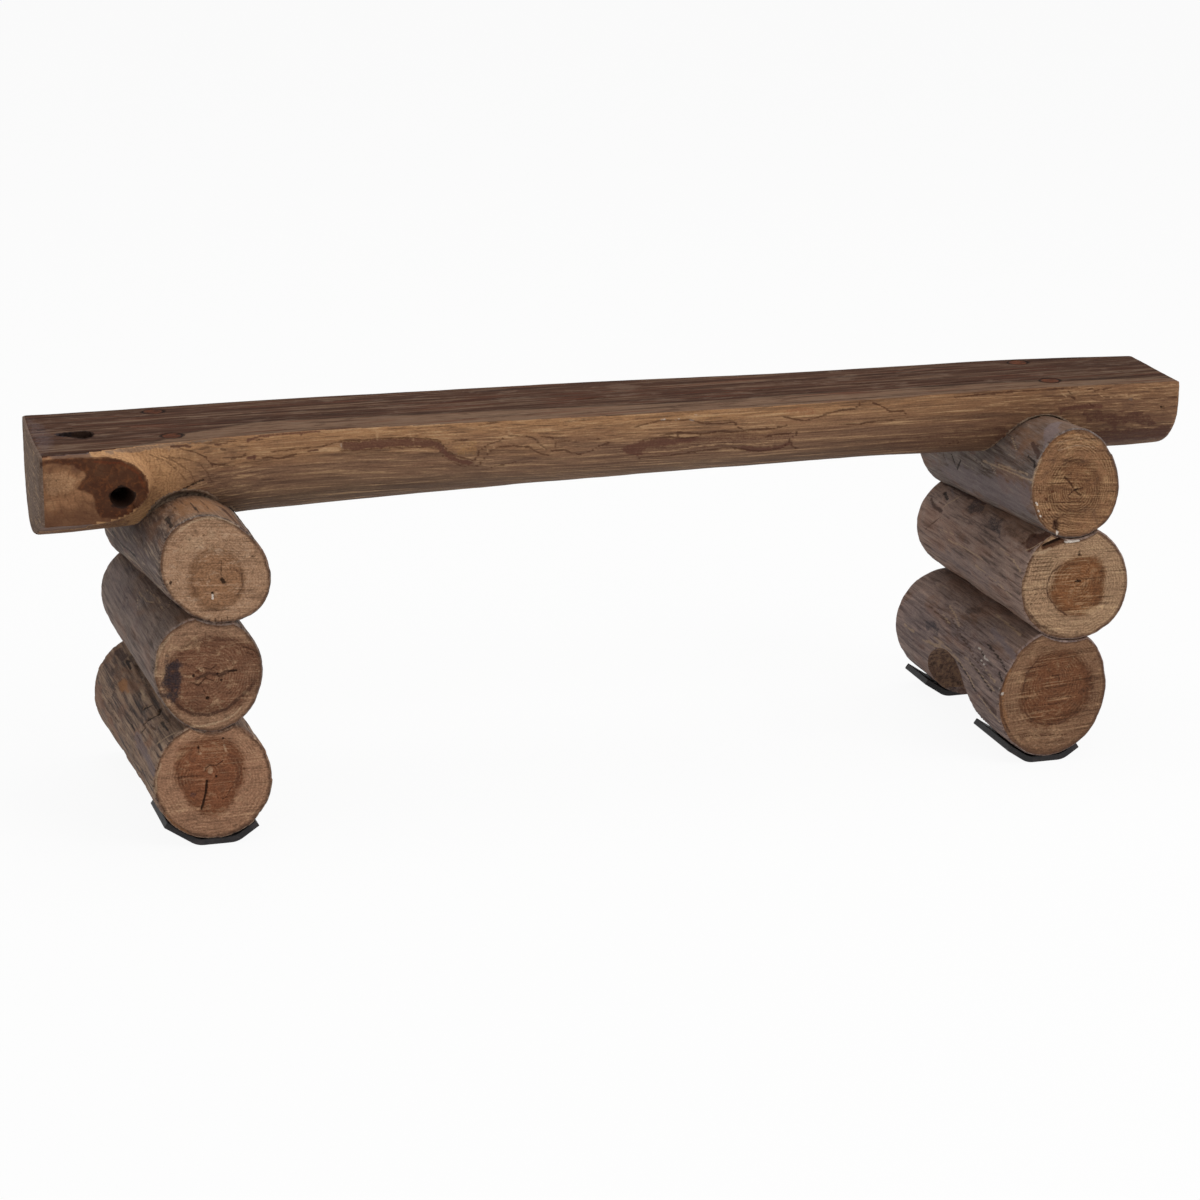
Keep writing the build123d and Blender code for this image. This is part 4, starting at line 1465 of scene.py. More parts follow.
@dataclass(frozen=True)
class BeamRound(Flank):
    """The beam's barked round: warm and pale near the sawn top, browner underneath, partly as painted light
    and shade.
    """

    along: int = 0
    under: str = "6b5140"
    red: str = "6d4a38"

    def material(self) -> bpy.types.Material:
        """Warm at the upper front, darker below, partly the wood's tone and partly painted light and shade,
        with curved grain about the branch stub.
        """
        d = Dresser(self.name)
        # painted light and shade: the ramp by height makes the round paler towards the top and darker towards
        # the underside, over its own tones
        lift = d.field("lift") * (1 / LIFT_HEIGHT)
        drift = d.noise(self.pitch(20, 150), 3.0, 0.6) - 0.5
        low = lift + drift * 0.6
        tones = (self.deep, self.under, self.base, self.light, self.warm)
        coat = Coat(d, d.ramp(low, *zip((0.0, 0.25, 0.5, 0.74, 1.0), tones)))
        right = d.axis("X").step(0.15, 0.55)
        coat.lay("654633", right * 0.6)
        streaks = d.noise(self.pitch(2.6, 130), 6.0, 0.68, warp=0.2)
        coat.lay(self.bright, streaks.step(0.51, 0.66) * 0.75)
        coat.lay(self.dark, (1 - streaks.step(0.34, 0.49)) * 0.72)
        bands = d.noise(self.pitch(8, 210), 4.0, 0.6)
        coat.lay(self.dark, (1 - bands.step(0.34, 0.46)) * 0.45)
        coat.lay(self.red, bands.step(0.54, 0.66) * 0.3)
        near = d.field("swirl").step(140.0, 85.0)
        coat.lay("b88b62", near * 0.85)
        curl = d.field("swirl") + (d.noise((34, 34, 34), 4.0, 0.6) - 0.5) * 46.0
        lines = (curl * (TAU / 5.6)).sine()
        coat.lay("6b4a32", lines.step(0.5, 1.0) * near * 0.36)
        coat.lay("c39a6c", lines.step(-0.4, -1.0) * near * 0.3)
        bruise = d.noise(self.pitch(7, 30), 4.0, 0.65, warp=0.8)
        coat.lay("50352c", bruise.step(0.64, 0.71) * self.plates)
        fine = d.noise(self.pitch(1.3, 30), 3.0, 0.7)
        coat.lay(self.dark, (1 - fine.step(0.33, 0.45)) * 0.4)
        coat.lay(self.bright, fine.step(0.56, 0.7) * 0.25)
        grain = d.noise((3.2, 1.8, 1.8), 4.0, 0.75)
        own = {"brown": "4e3127", "blue": "59382d", "pale": "c09a74", "grey": "6c5c52"}
        coat.marks(**own, ochre="ad8150", line="402519", red="84563c")
        coat.shade(grain * 1.1 + 0.48)
        height = streaks * 0.6 + fine * 0.4 + grain * 0.3 + lines * near * 0.15 - d.field("dark") * 0.9
        return d.finish(coat.colour, 0.7, height, 0.9, {"Specular IOR Level": 0.12})


@dataclass(frozen=True)
class StubFace:
    """The sawn branch: tan wood, a dark reddish heart round the hollow, and saw marks."""

    name: str = "stub face"

    def material(self) -> bpy.types.Material:
        """Tan and brown clouds with fine lines, under the dark heart marked on the mesh."""
        d = Dresser(self.name)
        cloud = d.noise((26, 26, 18), 4.0, 0.6, warp=0.4)
        coat = Coat(d, d.ramp(cloud, (0.3, "654330"), (0.46, "825c40"), (0.56, "93694a"), (0.7, "a67f5c")))
        low = d.axis("Z").step(0.4, 0.372)
        coat.lay("5c3c2a", low * 0.75)
        ring = (d.field("swirl") * (TAU / 9.0) + cloud * 9.0).sine()
        coat.lay("5b3b28", ring.step(0.6, 1.0) * 0.3)
        lines = d.noise((40, 40, 3.0), 3.0, 0.6)
        coat.lay("4a2f20", (1 - lines.step(0.33, 0.46)) * 0.35)
        grit = d.noise((2.4, 2.4, 2.4), 3.0, 0.7)
        coat.marks(brown="3a1b0e", pale="b8936f", red="6a3118", grey="604b3f")
        glow = d.noise((7, 7, 7), 4.0, 0.65, warp=0.6).step(0.47, 0.7) * d.field("brown") * 0.45
        coat.lay("84502e", glow * (1 - d.field("dark")))
        coat.shade(grit * 1.0 + 0.5)
        height = lines * 0.5 + grit * 0.5 - d.field("dark") * 0.8
        return d.finish(coat.colour, 0.6, height, 0.6, {"Specular IOR Level": 0.12})


@dataclass(frozen=True)
class SawnTop:
    """The sawn seat: a dark heart band with paler sapwood along the front edge."""

    name: str = "sawn seat"
    heart: str = "4c3429"
    sap: str = "765c4a"

    def material(self) -> bpy.types.Material:
        """Heart and sap by the side of the heart line, with long dark and pale streaks."""
        d = Dresser(self.name)
        drift = d.noise((110, 12, 12), 3.0, 0.6) - 0.5
        side = d.field("sap") + drift * 14.0
        coat = Coat(d, tone(self.sap))
        coat.lay(self.heart, side.step(-3.0, 4.0))
        edge = side.step(-6.0, 0.0) * side.step(7.0, 1.0)
        coat.lay("241814", edge * 0.6)
        bands = d.noise((260, 9, 9), 4.0, 0.62, warp=0.1)
        coat.lay("281b16", bands.step(0.51, 0.64) * 0.6)
        coat.lay("7d6552", (1 - bands.step(0.36, 0.49)) * 0.55)
        blot = d.noise((45, 17, 17), 5.0, 0.65, warp=0.5)
        coat.lay("3c2a22", blot.step(0.5, 0.66) * 0.5)
        coat.lay("7b6657", (1 - blot.step(0.34, 0.48)) * 0.4)
        red = d.noise((120, 8, 8), 4.0, 0.6)
        coat.lay("5c3022", red.step(0.53, 0.68) * 0.5)
        grain = d.noise((90, 2.2, 2.2), 6.0, 0.7, warp=0.15)
        coat.lay("8f7965", grain.step(0.53, 0.7) * 0.5)
        coat.lay("1d1310", (1 - grain.step(0.3, 0.46)) * 0.5)
        fibre = d.noise((14, 1.5, 1.5), 4.0, 0.75)
        right = d.axis("X").step(0.3, 0.62)
        coat.shade(fibre * 1.1 + 0.42 - right * 0.14)
        coat.marks(brown="2b1c16", pale="8b735e", line="140c09")
        height = grain * 0.7 + fibre * 0.4 - d.field("dark") * 0.6
        return d.finish(coat.colour, 0.9, height, 0.5, {"Specular IOR Level": 0.04})


@dataclass(frozen=True)
class RoughCut:
    """Wood freshly cut across the round: scoops, copes and the foot arch."""

    name: str
    base: str = "765c4d"
    dark: str = "45332a"
    light: str = "97795f"

    def material(self) -> bpy.types.Material:
        """Torn fibres and tool marks in two tones."""
        d = Dresser(self.name)
        tear = d.noise((5, 12, 5), 4.0, 0.65, warp=0.5)
        coat = Coat(d, d.ramp(tear, (0.34, self.dark), (0.5, self.base), (0.68, self.light)))
        fine = d.noise((1.6, 5, 1.6), 3.0, 0.65)
        coat.shade(fine * 0.9 + 0.55)
        coat.marks()
        return d.finish(coat.colour, 0.85, tear * 0.8 + fine * 0.4, 0.9, {"Specular IOR Level": 0.2})


@dataclass(frozen=True)
class PlugGrain:
    """A dark hardwood plug, waxed by use, with glue and dirt in its joint."""

    name: str = "plug end"

    def material(self) -> bpy.types.Material:
        """Fine grain across the plug with a darker rim."""
        d = Dresser(self.name)
        grain = d.noise((12, 1.3, 12), 3.0, 0.65)
        coat = Coat(d, tone("623722"))
        coat.lay("2c170e", grain.step(0.4, 0.62))
        coat.lay("130b08", d.field("ring").step(0.78, 0.96) * 0.9)
        return d.finish(coat.colour, 0.8, grain, 0.25, {"Specular IOR Level": 0.06})


@dataclass(frozen=True)
class Rubber:
    """Black rubber cut from sheet: dull, with dust, scuffs and faint calender lines."""

    name: str = "black rubber"

    def material(self) -> bpy.types.Material:
        """Near black with dusty clouds, and a fine grain in the bump."""
        d = Dresser(self.name)
        dust = d.noise((16, 20, 9), 4.0, 0.6)
        colour = d.blend(tone("171516"), tone("3c3636"), dust.step(0.42, 0.7) * 0.7)
        lines = d.noise((30, 1.4, 1.4), 2.0, 0.5)
        grain = d.noise((0.8, 0.8, 0.8), 2.0, 0.6)
        rough = dust * 0.25 + 0.45
        return d.finish(colour, rough, lines * 0.6 + grain * 0.5, 0.2, {"Specular IOR Level": 0.3})


@dataclass(frozen=True)
class ZincSteel:
    """Zinc-plated steel: bluish bright metal with dull clouds and turning marks."""

    name: str = "zinc steel"

    def material(self) -> bpy.types.Material:
        """Clouds in colour and roughness, and fine rings along the thread's axis in the bump."""
        d = Dresser(self.name)
        cloud = d.noise((4, 4, 4), 3.0, 0.6)
        colour = d.blend(tone("76777a"), tone("4f4c47"), cloud.step(0.4, 0.7))
        turning = d.noise((30, 30, 0.35), 1.0, 0.5)
        return d.finish(colour, cloud * 0.2 + 0.42, turning, 0.08, {"Metallic": 1.0})


# ---- The bench ----

LEFT_X = 170.0 - BENCH_LENGTH / 2
RIGHT_X = BENCH_LENGTH / 2 - 178.0
LEFT_LENGTH = 361.0
RIGHT_LENGTH = 353.0
LEFT_ENDS = (
    (LogEnd(0.5, 69.0, 71.5, lean=-1.5), LogEnd(-5.0, 71.0, 72.0), (79.5, 80.0)),
    (
        LogEnd(-1.5, 64.0, 69.0, egg=-0.08, lean=-5.5),
        LogEnd(-2.0, 62.5, 62.0),
        (207.5, 205.0),
    ),
    (
        LogEnd(8.5, 62.5, 65.0, egg=0.05, lean=-12.5),
        LogEnd(21.0, 76.0, 60.0, egg=0.2),
        (331.5, 300.0),
    ),
)
RIGHT_ENDS = (
    (LogEnd(-13.5, 71.5, 82.0, egg=0.02, lean=5.0), LogEnd(-10.0, 74.0, 72.0), (90.0, 80.0)),
    (
        LogEnd(8.5, 71.5, 73.0, egg=0.05, lean=-2.0),
        LogEnd(13.0, 71.0, 65.5),
        (228.0, 214.5),
    ),
    (
        LogEnd(4.0, 58.0, 69.5, egg=0.09, lean=-3.0),
        LogEnd(7.0, 65.0, 64.0),
        (353.5, 323.0),
    ),
)
LEFT_LOGS = tuple(LogShape(LEFT_X, LEFT_LENGTH, *ends) for ends in LEFT_ENDS)
RIGHT_LOGS = tuple(LogShape(RIGHT_X, RIGHT_LENGTH, *ends) for ends in RIGHT_ENDS)
LEFT_SADDLE = 358.711
RIGHT_SADDLE = 383.541
PLUGS = {
    "left_front_plug": (-541.0, -25.0),
    "left_back_plug": (-541.0, 95.0),
    "right_front_plug": (548.0, -46.0),
    "right_back_plug": (548.0, 55.0),
}
METAL_NODES = (
    "left_front_rod", "left_back_rod", "right_front_rod", "right_back_rod",
    "upper_washers", "upper_nuts", "lower_washers", "lower_nuts",
)


# ---- Marks ----
# On an end: X and Z from its middle. On a log's round: place along it and angle, 0 on the right
# and 90 on top. On the beam's round: X and angle, 180 at its front. On the seat: X and Y. On the
# sawn stub: X and Z.

LEFT_TOP_END = read_marks("""
dark 2.5: 8,-12 10,-16
dark 2.2 2.5: -3,-28
white 1.8: -3,-30 -3,-34
line 0.68 0.3: 8,10 7,-8 / 10,32 42,33 / -20,-48 14,-49
fill pale 10 0 0.6: -45,22 -30,44 -8,50 4,46 -4,24 -25,16
line 0.94: -38,28 -37,29 / -28,36 -27,37
line 0.77: -20,27 -19,28 / -33,20 -32,21 / -24,41 -23,42
line 0.85: -12,40 -11,41
pale 2.2 0 0.9: -38,48 -25,57 -8,61 12,58 28,50
line 0.94 0.4: -8,-58 -8,-66 / -1,-58 -1,-66 / 6,-58 6,-66
line 0.85 0.4: 13,-56 13,-65
dark 2.0 0.5: -50,-12
line 0.85 0.3: 28,12 36,12 / 40,11 47,12
brown 2.0 0 0.6: 22,0 31,-8 32,-22 26,-32
brown 2.0 0 0.5: -24,-5 -27,-16 -20,-28
brown 4.0 0 0.5: 4,-10 9,-13 12,-18
""")
LEFT_TOP_FLANK = read_marks("""
fill brown 4 -0.9 0.5: -24,148 -30,136 -69,125 -142,131 -163,147 -163,160 -116,164 -49,161
fill ochre 6 0 0.5: -77,126 -60,110 -53,95 -67,76 -128,70 -165,95 -161,114 -169,130
line 1.19 0.5: -63,109 -109,108
dark 1.6 0.5: -92,102 -164,102
line 1.02 0.4: -64,118 -107,118 / -78,89 -142,89
dark 3 0.8: -116,130 -172,132
fill grey 6 0 0.6: 90,186 -1,175 -107,170 -180,178 -133,189 -15,195 73,197
fill brown 8 0 0.6: 120,148 0,150 -100,152 -100,188 0,192 120,192
dark 2 0.6: 130,186 79,190 -16,190
brown 6: -94,67 -150,61 -180,53
""")
LEFT_MIDDLE_END = read_marks("""
fill brown 7 0 0.8: -53,8 -46,24 -36,22 -32,2 -35,-20 -44,-32 -53,-15
fill blue 10 0 0.7: -54,12 -46,28 -34,20 -28,2 -32,-22 -42,-34 -53,-22
red 4 0 0.8: -12,5
pale 1.6 0 0.8: -10,7 -8,5
dark 2.2 1.2: -17,0
line 1.1 0.7: -20,-8 -12,-12 -4,-4 5,-8
line 0.94 0.5: -15,4 -6,9 3,6 9,10
brown 3 0.3 0.8: -14,-4 0,2 12,-2 22,2
dark 2.4 2.5: -2,-28
dark 2.0 1: 10,0 / 15,-8
dark 1.8 1.2: 24,2 32,2
line 1.02 1: 40,30 50,26 60,18
fill pale 8 0 0.4: 36,-14 56,-10 60,8 48,18 38,8
line 1.02 0.8: 44,22 52,19
brown 3 0 0.8: -42,-26 -32,-38 -18,-46 0,-48 20,-43 35,-31
brown 2.5 0 0.7: 36,-30 46,-22 54,-12
pale 1.7 0.4 0.9: -27,-60 -5,-61 15,-57 28,-51 37,-42
pale 3 0 0.7: -61,5 -60,22 -53,38 -40,52
pale 2.5 0 0.5: -56,-20 -50,-34 -40,-46
brown 4 0 0.5: -30,36 0,44 28,40
red 4 0 0.4: -15,-40 0,-42 15,-38
line 0.77 0.3: -8,-14 -4,-22
""")
# The brown patch at angles 104 to 122 is painted shadow of the top log that lies on this one.
LEFT_MIDDLE_FLANK = read_marks("""
fill grey 14 0 0.55: 175,157 160,132 90,121 -12,137 -142,149 -62,161 111,170
pale 1.2: 9,132 -39,131 -63,126
pale 1: -2,137 -36,143 / -2,125 -60,120 -100,122
pale 0.9: -106,123 -106,116 -83,110 / 54,113 -7,111
dark 3 0.6: -78,107 -119,107 -147,103
fill brown 8 0 0.55: 109,117 54,109 -74,104 -139,108 -104,117 -9,119 60,122
""")
LEFT_BOTTOM_END = read_marks("""
dark 2.2 1.5: -16,41
line 1.02 0.8: -16,44 -16,36
pale 2.2 0 0.8: -14,34
dark 2 1: 13,50
pale 2.0 0 0.7: 14,42 16,34
pale 4.5 0 0.8: -3,12
line 1.1 0.7: -9,12 -8,16 -3,19 4,18 12,23
dark 1.8 0.6: 4,5
dark 1.7 1.4: -7,0 -9,-15 -14,-33
line 0.77 0.3: -46,8 -30,8 -12,7
blue 4.5 0 0.6: -24,-15
line 0.85 0.3: 22,-8 16,-20 10,-24
pale 1.8 0 0.8: -66,-8 -66,8 -60,26
brown 5 0 0.5: 20,28 32,12 26,-10
brown 4 0 0.4: -38,24 -40,5 -32,-10
ochre 3 0 0.6: -58,-34 -46,-50 -30,-62
""")
LEFT_BOTTOM_FLANK = read_marks("""
fill ochre 4 0 0.9: 85,145 76,138 49,137 34,142 57,149
dark 5 1.5 0.6: 121,121 86,118 45,121 -14,123 -74,126 -126,124
dark 4 2 0.7: 84,120 67,120
dark 2.8 2.4: -41,138 -54,130
dark 3 2.6: -76,146 -80,140 -93,129 -84,124
dark 1.6 1.2: -87,147 -82,153
dark 1.6 0.8: -30,159 -52,160
line 1.02 0.8: -93,141 -121,139
fill pale 3 -1.4 0.35: -53,138 -58,131 -80,124 -90,129 -75,139
dark 4 0.6 0.5: 18,137 -9,137
dark 5 1 0.5: -136,141 -161,139
pale 2.4: 5,130 -28,132
pale 2: -152,144 -162,135 -173,125
pale 1.6: 35,122 10,123
line 1.02 0.5: 67,172 12,175 -49,176
line 0.94 0.5: 32,156 -29,157 -89,161
line 0.85 0.4: 98,168 35,168
dark 2.5 0.8: 114,126 84,127
brown 7 0 0.6: 165,145 112,141 83,142
brown 6: 161,128 126,127
grey 9: -64,161 -130,164 -177,167
dark 2 1: -118,130 -152,129
""")
RIGHT_TOP_END = read_marks("""
dark 1.8 0.8: 0,-8
dark 1.7 0.8: 3,-7
line 1.5 0.6 1: 0,-8 4,-13 9,-15
line 1.4 0.6: 2,-8 10,-6
line 1.5 0.9 1: -14,9 -8,3 -2,-5
line 1.3 0.4: -2,-9 -8,-14
fill brown 8 0 0.3: 20,12 38,14 40,0 24,-4
fill brown 8 0 0.35: 38,8 56,5 54,-24 38,-20
line 0.77 0.4: -30,12 -5,12 / -40,2 -15,2 / 5,22 30,21 / -20,-22 12,-23
white 1.6: -50,-20 -48,-23
white 1.3: -47,-30 -46,-31 / -44,-37 -43,-38
red 1.6: -46,-8 -45,-9 / -38,-16 -37,-17
red 1.8: -33,-30 -32,-31
red 1.5: -40,-38 -39,-39 / -30,-8 -29,-8
fill brown 2.5 2.2 1: -27,-44 -21,-42 -18,-50 -20,-60 -26,-58
line 1.19 1.5: -24,-46 -21,-57
white 1.4: -21,-58 -21,-64
pale 2.2 0 0.8: -46,34 -54,15 -58,-5 -57,-22
pale 1.4 0 0.7: -24,43 0,48 24,43
pale 1.3 0 0.6: -26,52 0,57 24,52
ochre 4 0 0.5: -50,36 -30,56 -5,64
""")
RIGHT_TOP_FLANK = read_marks("""
fill grey 9 0 0.85: 138,199 40,186 -84,184 -176,174 -176,205 -141,225 -25,229 100,217
dark 1.6 0.9: 70,180 60,188 53,195 40,183
line 1.19 0.8: 96,183 87,191 / -6,175 -19,176 -32,180 -63,179
line 0.85 0.5: -25,179 -38,184 -54,183
pale 1.8: -29,172 -91,172 -148,173 -176,172
pale 1.5: -74,169 -119,168 -163,167 / -79,134 -109,145
pale 1: -52,173 -73,181
fill ochre 8 0 0.35: -54,135 -70,119 -95,108 -144,114 -169,141 -167,158 -120,162 -78,154
line 1.02 0.3: -76,143 -87,135 -83,123
fill grey 4 0 0.9: -124,104 -126,91 -174,105 -176,123 -176,136
dark 2 0.5: -147,147 -170,150 -176,158
brown 5: -139,132 -176,142
grey 4: -95,195 -96,209
line 1.19 0.4: -48,149 -54,141 -52,129
""")
RIGHT_MIDDLE_END = read_marks("""
fill brown 6 0 0.45: 18,12 38,12 38,-26 20,-34
dark 1.5 0.6: 2,2 8,2
line 1.02 0.5: 3,6 5,2
fill dark 2 0.8 0.9: 2,34 9,34 6,44
fill red 3 4 1: -47,50 -30,57 -14,60 -14,51 -30,46 -43,44
dark 3 3: -40,50 -28,54 -20,56
pale 2.2 -0.8 0.9: -64,38 -56,42 -44,42 -32,46
white 1.5 -0.5: -14,53 4,54
brown 1.4 0.3 0.8: -18,24 -30,16 -36,2 -34,-14 -22,-30 -8,-40
line 0.77 0.5: -62,34 -24,34 / -64,29 -28,29 / -66,24 -32,24 / -67,19 -34,19 / -68,13 -36,13 / -68,8
  -37,8 / -68,2 -36,2 / -67,-4 -36,-4 / -66,-10 -34,-10
line 0.77 0.4: -64,-16 -30,-16 / -62,-22 -26,-22
brown 2.5 0.4 0.7: -60,-30 -44,-50 -20,-62
""")
RIGHT_MIDDLE_FLANK = read_marks("""
fill dark 9 0 0.5: 73,126 -2,126 -104,128 -159,124 -156,140 -94,146 -21,142 49,139
fill blue 4.5 0.5 0.65: 67,131 47,123 10,127 11,138 41,140
fill blue 5 0.4 0.65: -10,137 -31,129 -65,135 -77,146 -41,148
dark 3 1.4: 136,136 114,140
grey 2.4: 130,128 106,134
line 1.02 0.7: 144,182 123,171 104,160
brown 3 0.4: 157,149 132,155 109,154
line 0.85 0.4: 130,147 104,148 / 23,178 -29,176 / -62,190 -120,194
pale 1: 112,150 98,139 91,130 / 94,172 44,168
brown 6: 159,125 91,123 25,122
fill grey 9 0 0.6: 129,191 57,185 -80,183 -144,189 -44,209 80,212 138,208
pale 1.2: 64,177 6,175 -62,176
pale 1.3: -29,186 -96,188 -148,195
pale 1.4: -93,155 -134,158 -168,164
fill red 3 2 1: -137,140 -139,129 -156,117 -176,108 -176,115 -176,132 -166,142
pale 1.8 -0.8: -157,144 -169,137 -176,128 -176,113
""")
RIGHT_BOTTOM_END = read_marks("""
fill brown 10 0 0.5: 34,-34 36,0 40,32 58,28 64,0 54,-34
dark 1.9 1: 3,19
line 1.02 0.5: -2,22 6,22 8,16
pale 2 0 0.5: 6,34
ochre 5 0 0.5: -60,34 -67,12 -68,-12 -60,-36
brown 2 0 0.7: -62,30 -70,5 -66,-25 -56,-45
white 2.2 -0.8: -67,5
brown 1.6 0.2 0.7: -41,2 -36,28 -22,44 / -40,-18 -22,-38 8,-42 34,-28
line 0.85 0.5: -36,34 -10,36 / -10,-6 24,-7
line 0.77 0.4: -30,-14 10,-15 / -44,-52 20,-56
pale 1.2 0 0.6: -40,-46 30,-50 / -34,-56 26,-60 / -26,-66 18,-68
pale 1.1 0 0.5: 34,38 62,34 / 40,-8 66,-10 / 38,-20 62,-22
""")
RIGHT_BOTTOM_FLANK = read_marks("""
fill grey 10 0 0.5: 154,172 131,151 82,133 40,169 86,189 140,190
fill blue 3.5 0.3 0.7: 83,159 63,153 32,155 36,162 69,165
fill dark 4 0 0.6: 18,126 7,118 -18,114 -26,122 -6,129
fill brown 6 0 0.4: 17,136 -8,127 -45,125 -62,139 -25,143
pale 1.6: 144,174 109,175
pale 1.8: 54,131 19,136 -7,142 / -111,192 -145,200 -174,205
pale 2: 79,177 21,171 -32,171 -70,178 -98,187
pale 1.4: 45,166 -16,168 / -56,165 -110,170 -162,176 / -118,162 -158,168 / -56,112 -105,114 -148,116
pale 1.2: 53,142 19,146
white 1.1: -82,149 -97,150 / -104,153 -126,155
white 0.8: -98,157 -116,160
white 2.2 -0.8: -176,173 -176,174
dark 1.8 1.2: -92,151 -102,153
line 1.19 0.6: 26,140 -24,149 -69,157 -115,165
dark 1.5 0.6: -74,166 -118,172 -155,179
dark 1.6 0.5: -97,141 -146,146 -176,153 / -41,174 -77,182 -103,192
line 1.02 0.4: 94,143 39,146
dark 2.6 0.8: -160,158 -176,164
brown 4: -129,192 -166,199
grey 5: -81,126 -133,132 -176,136
""")
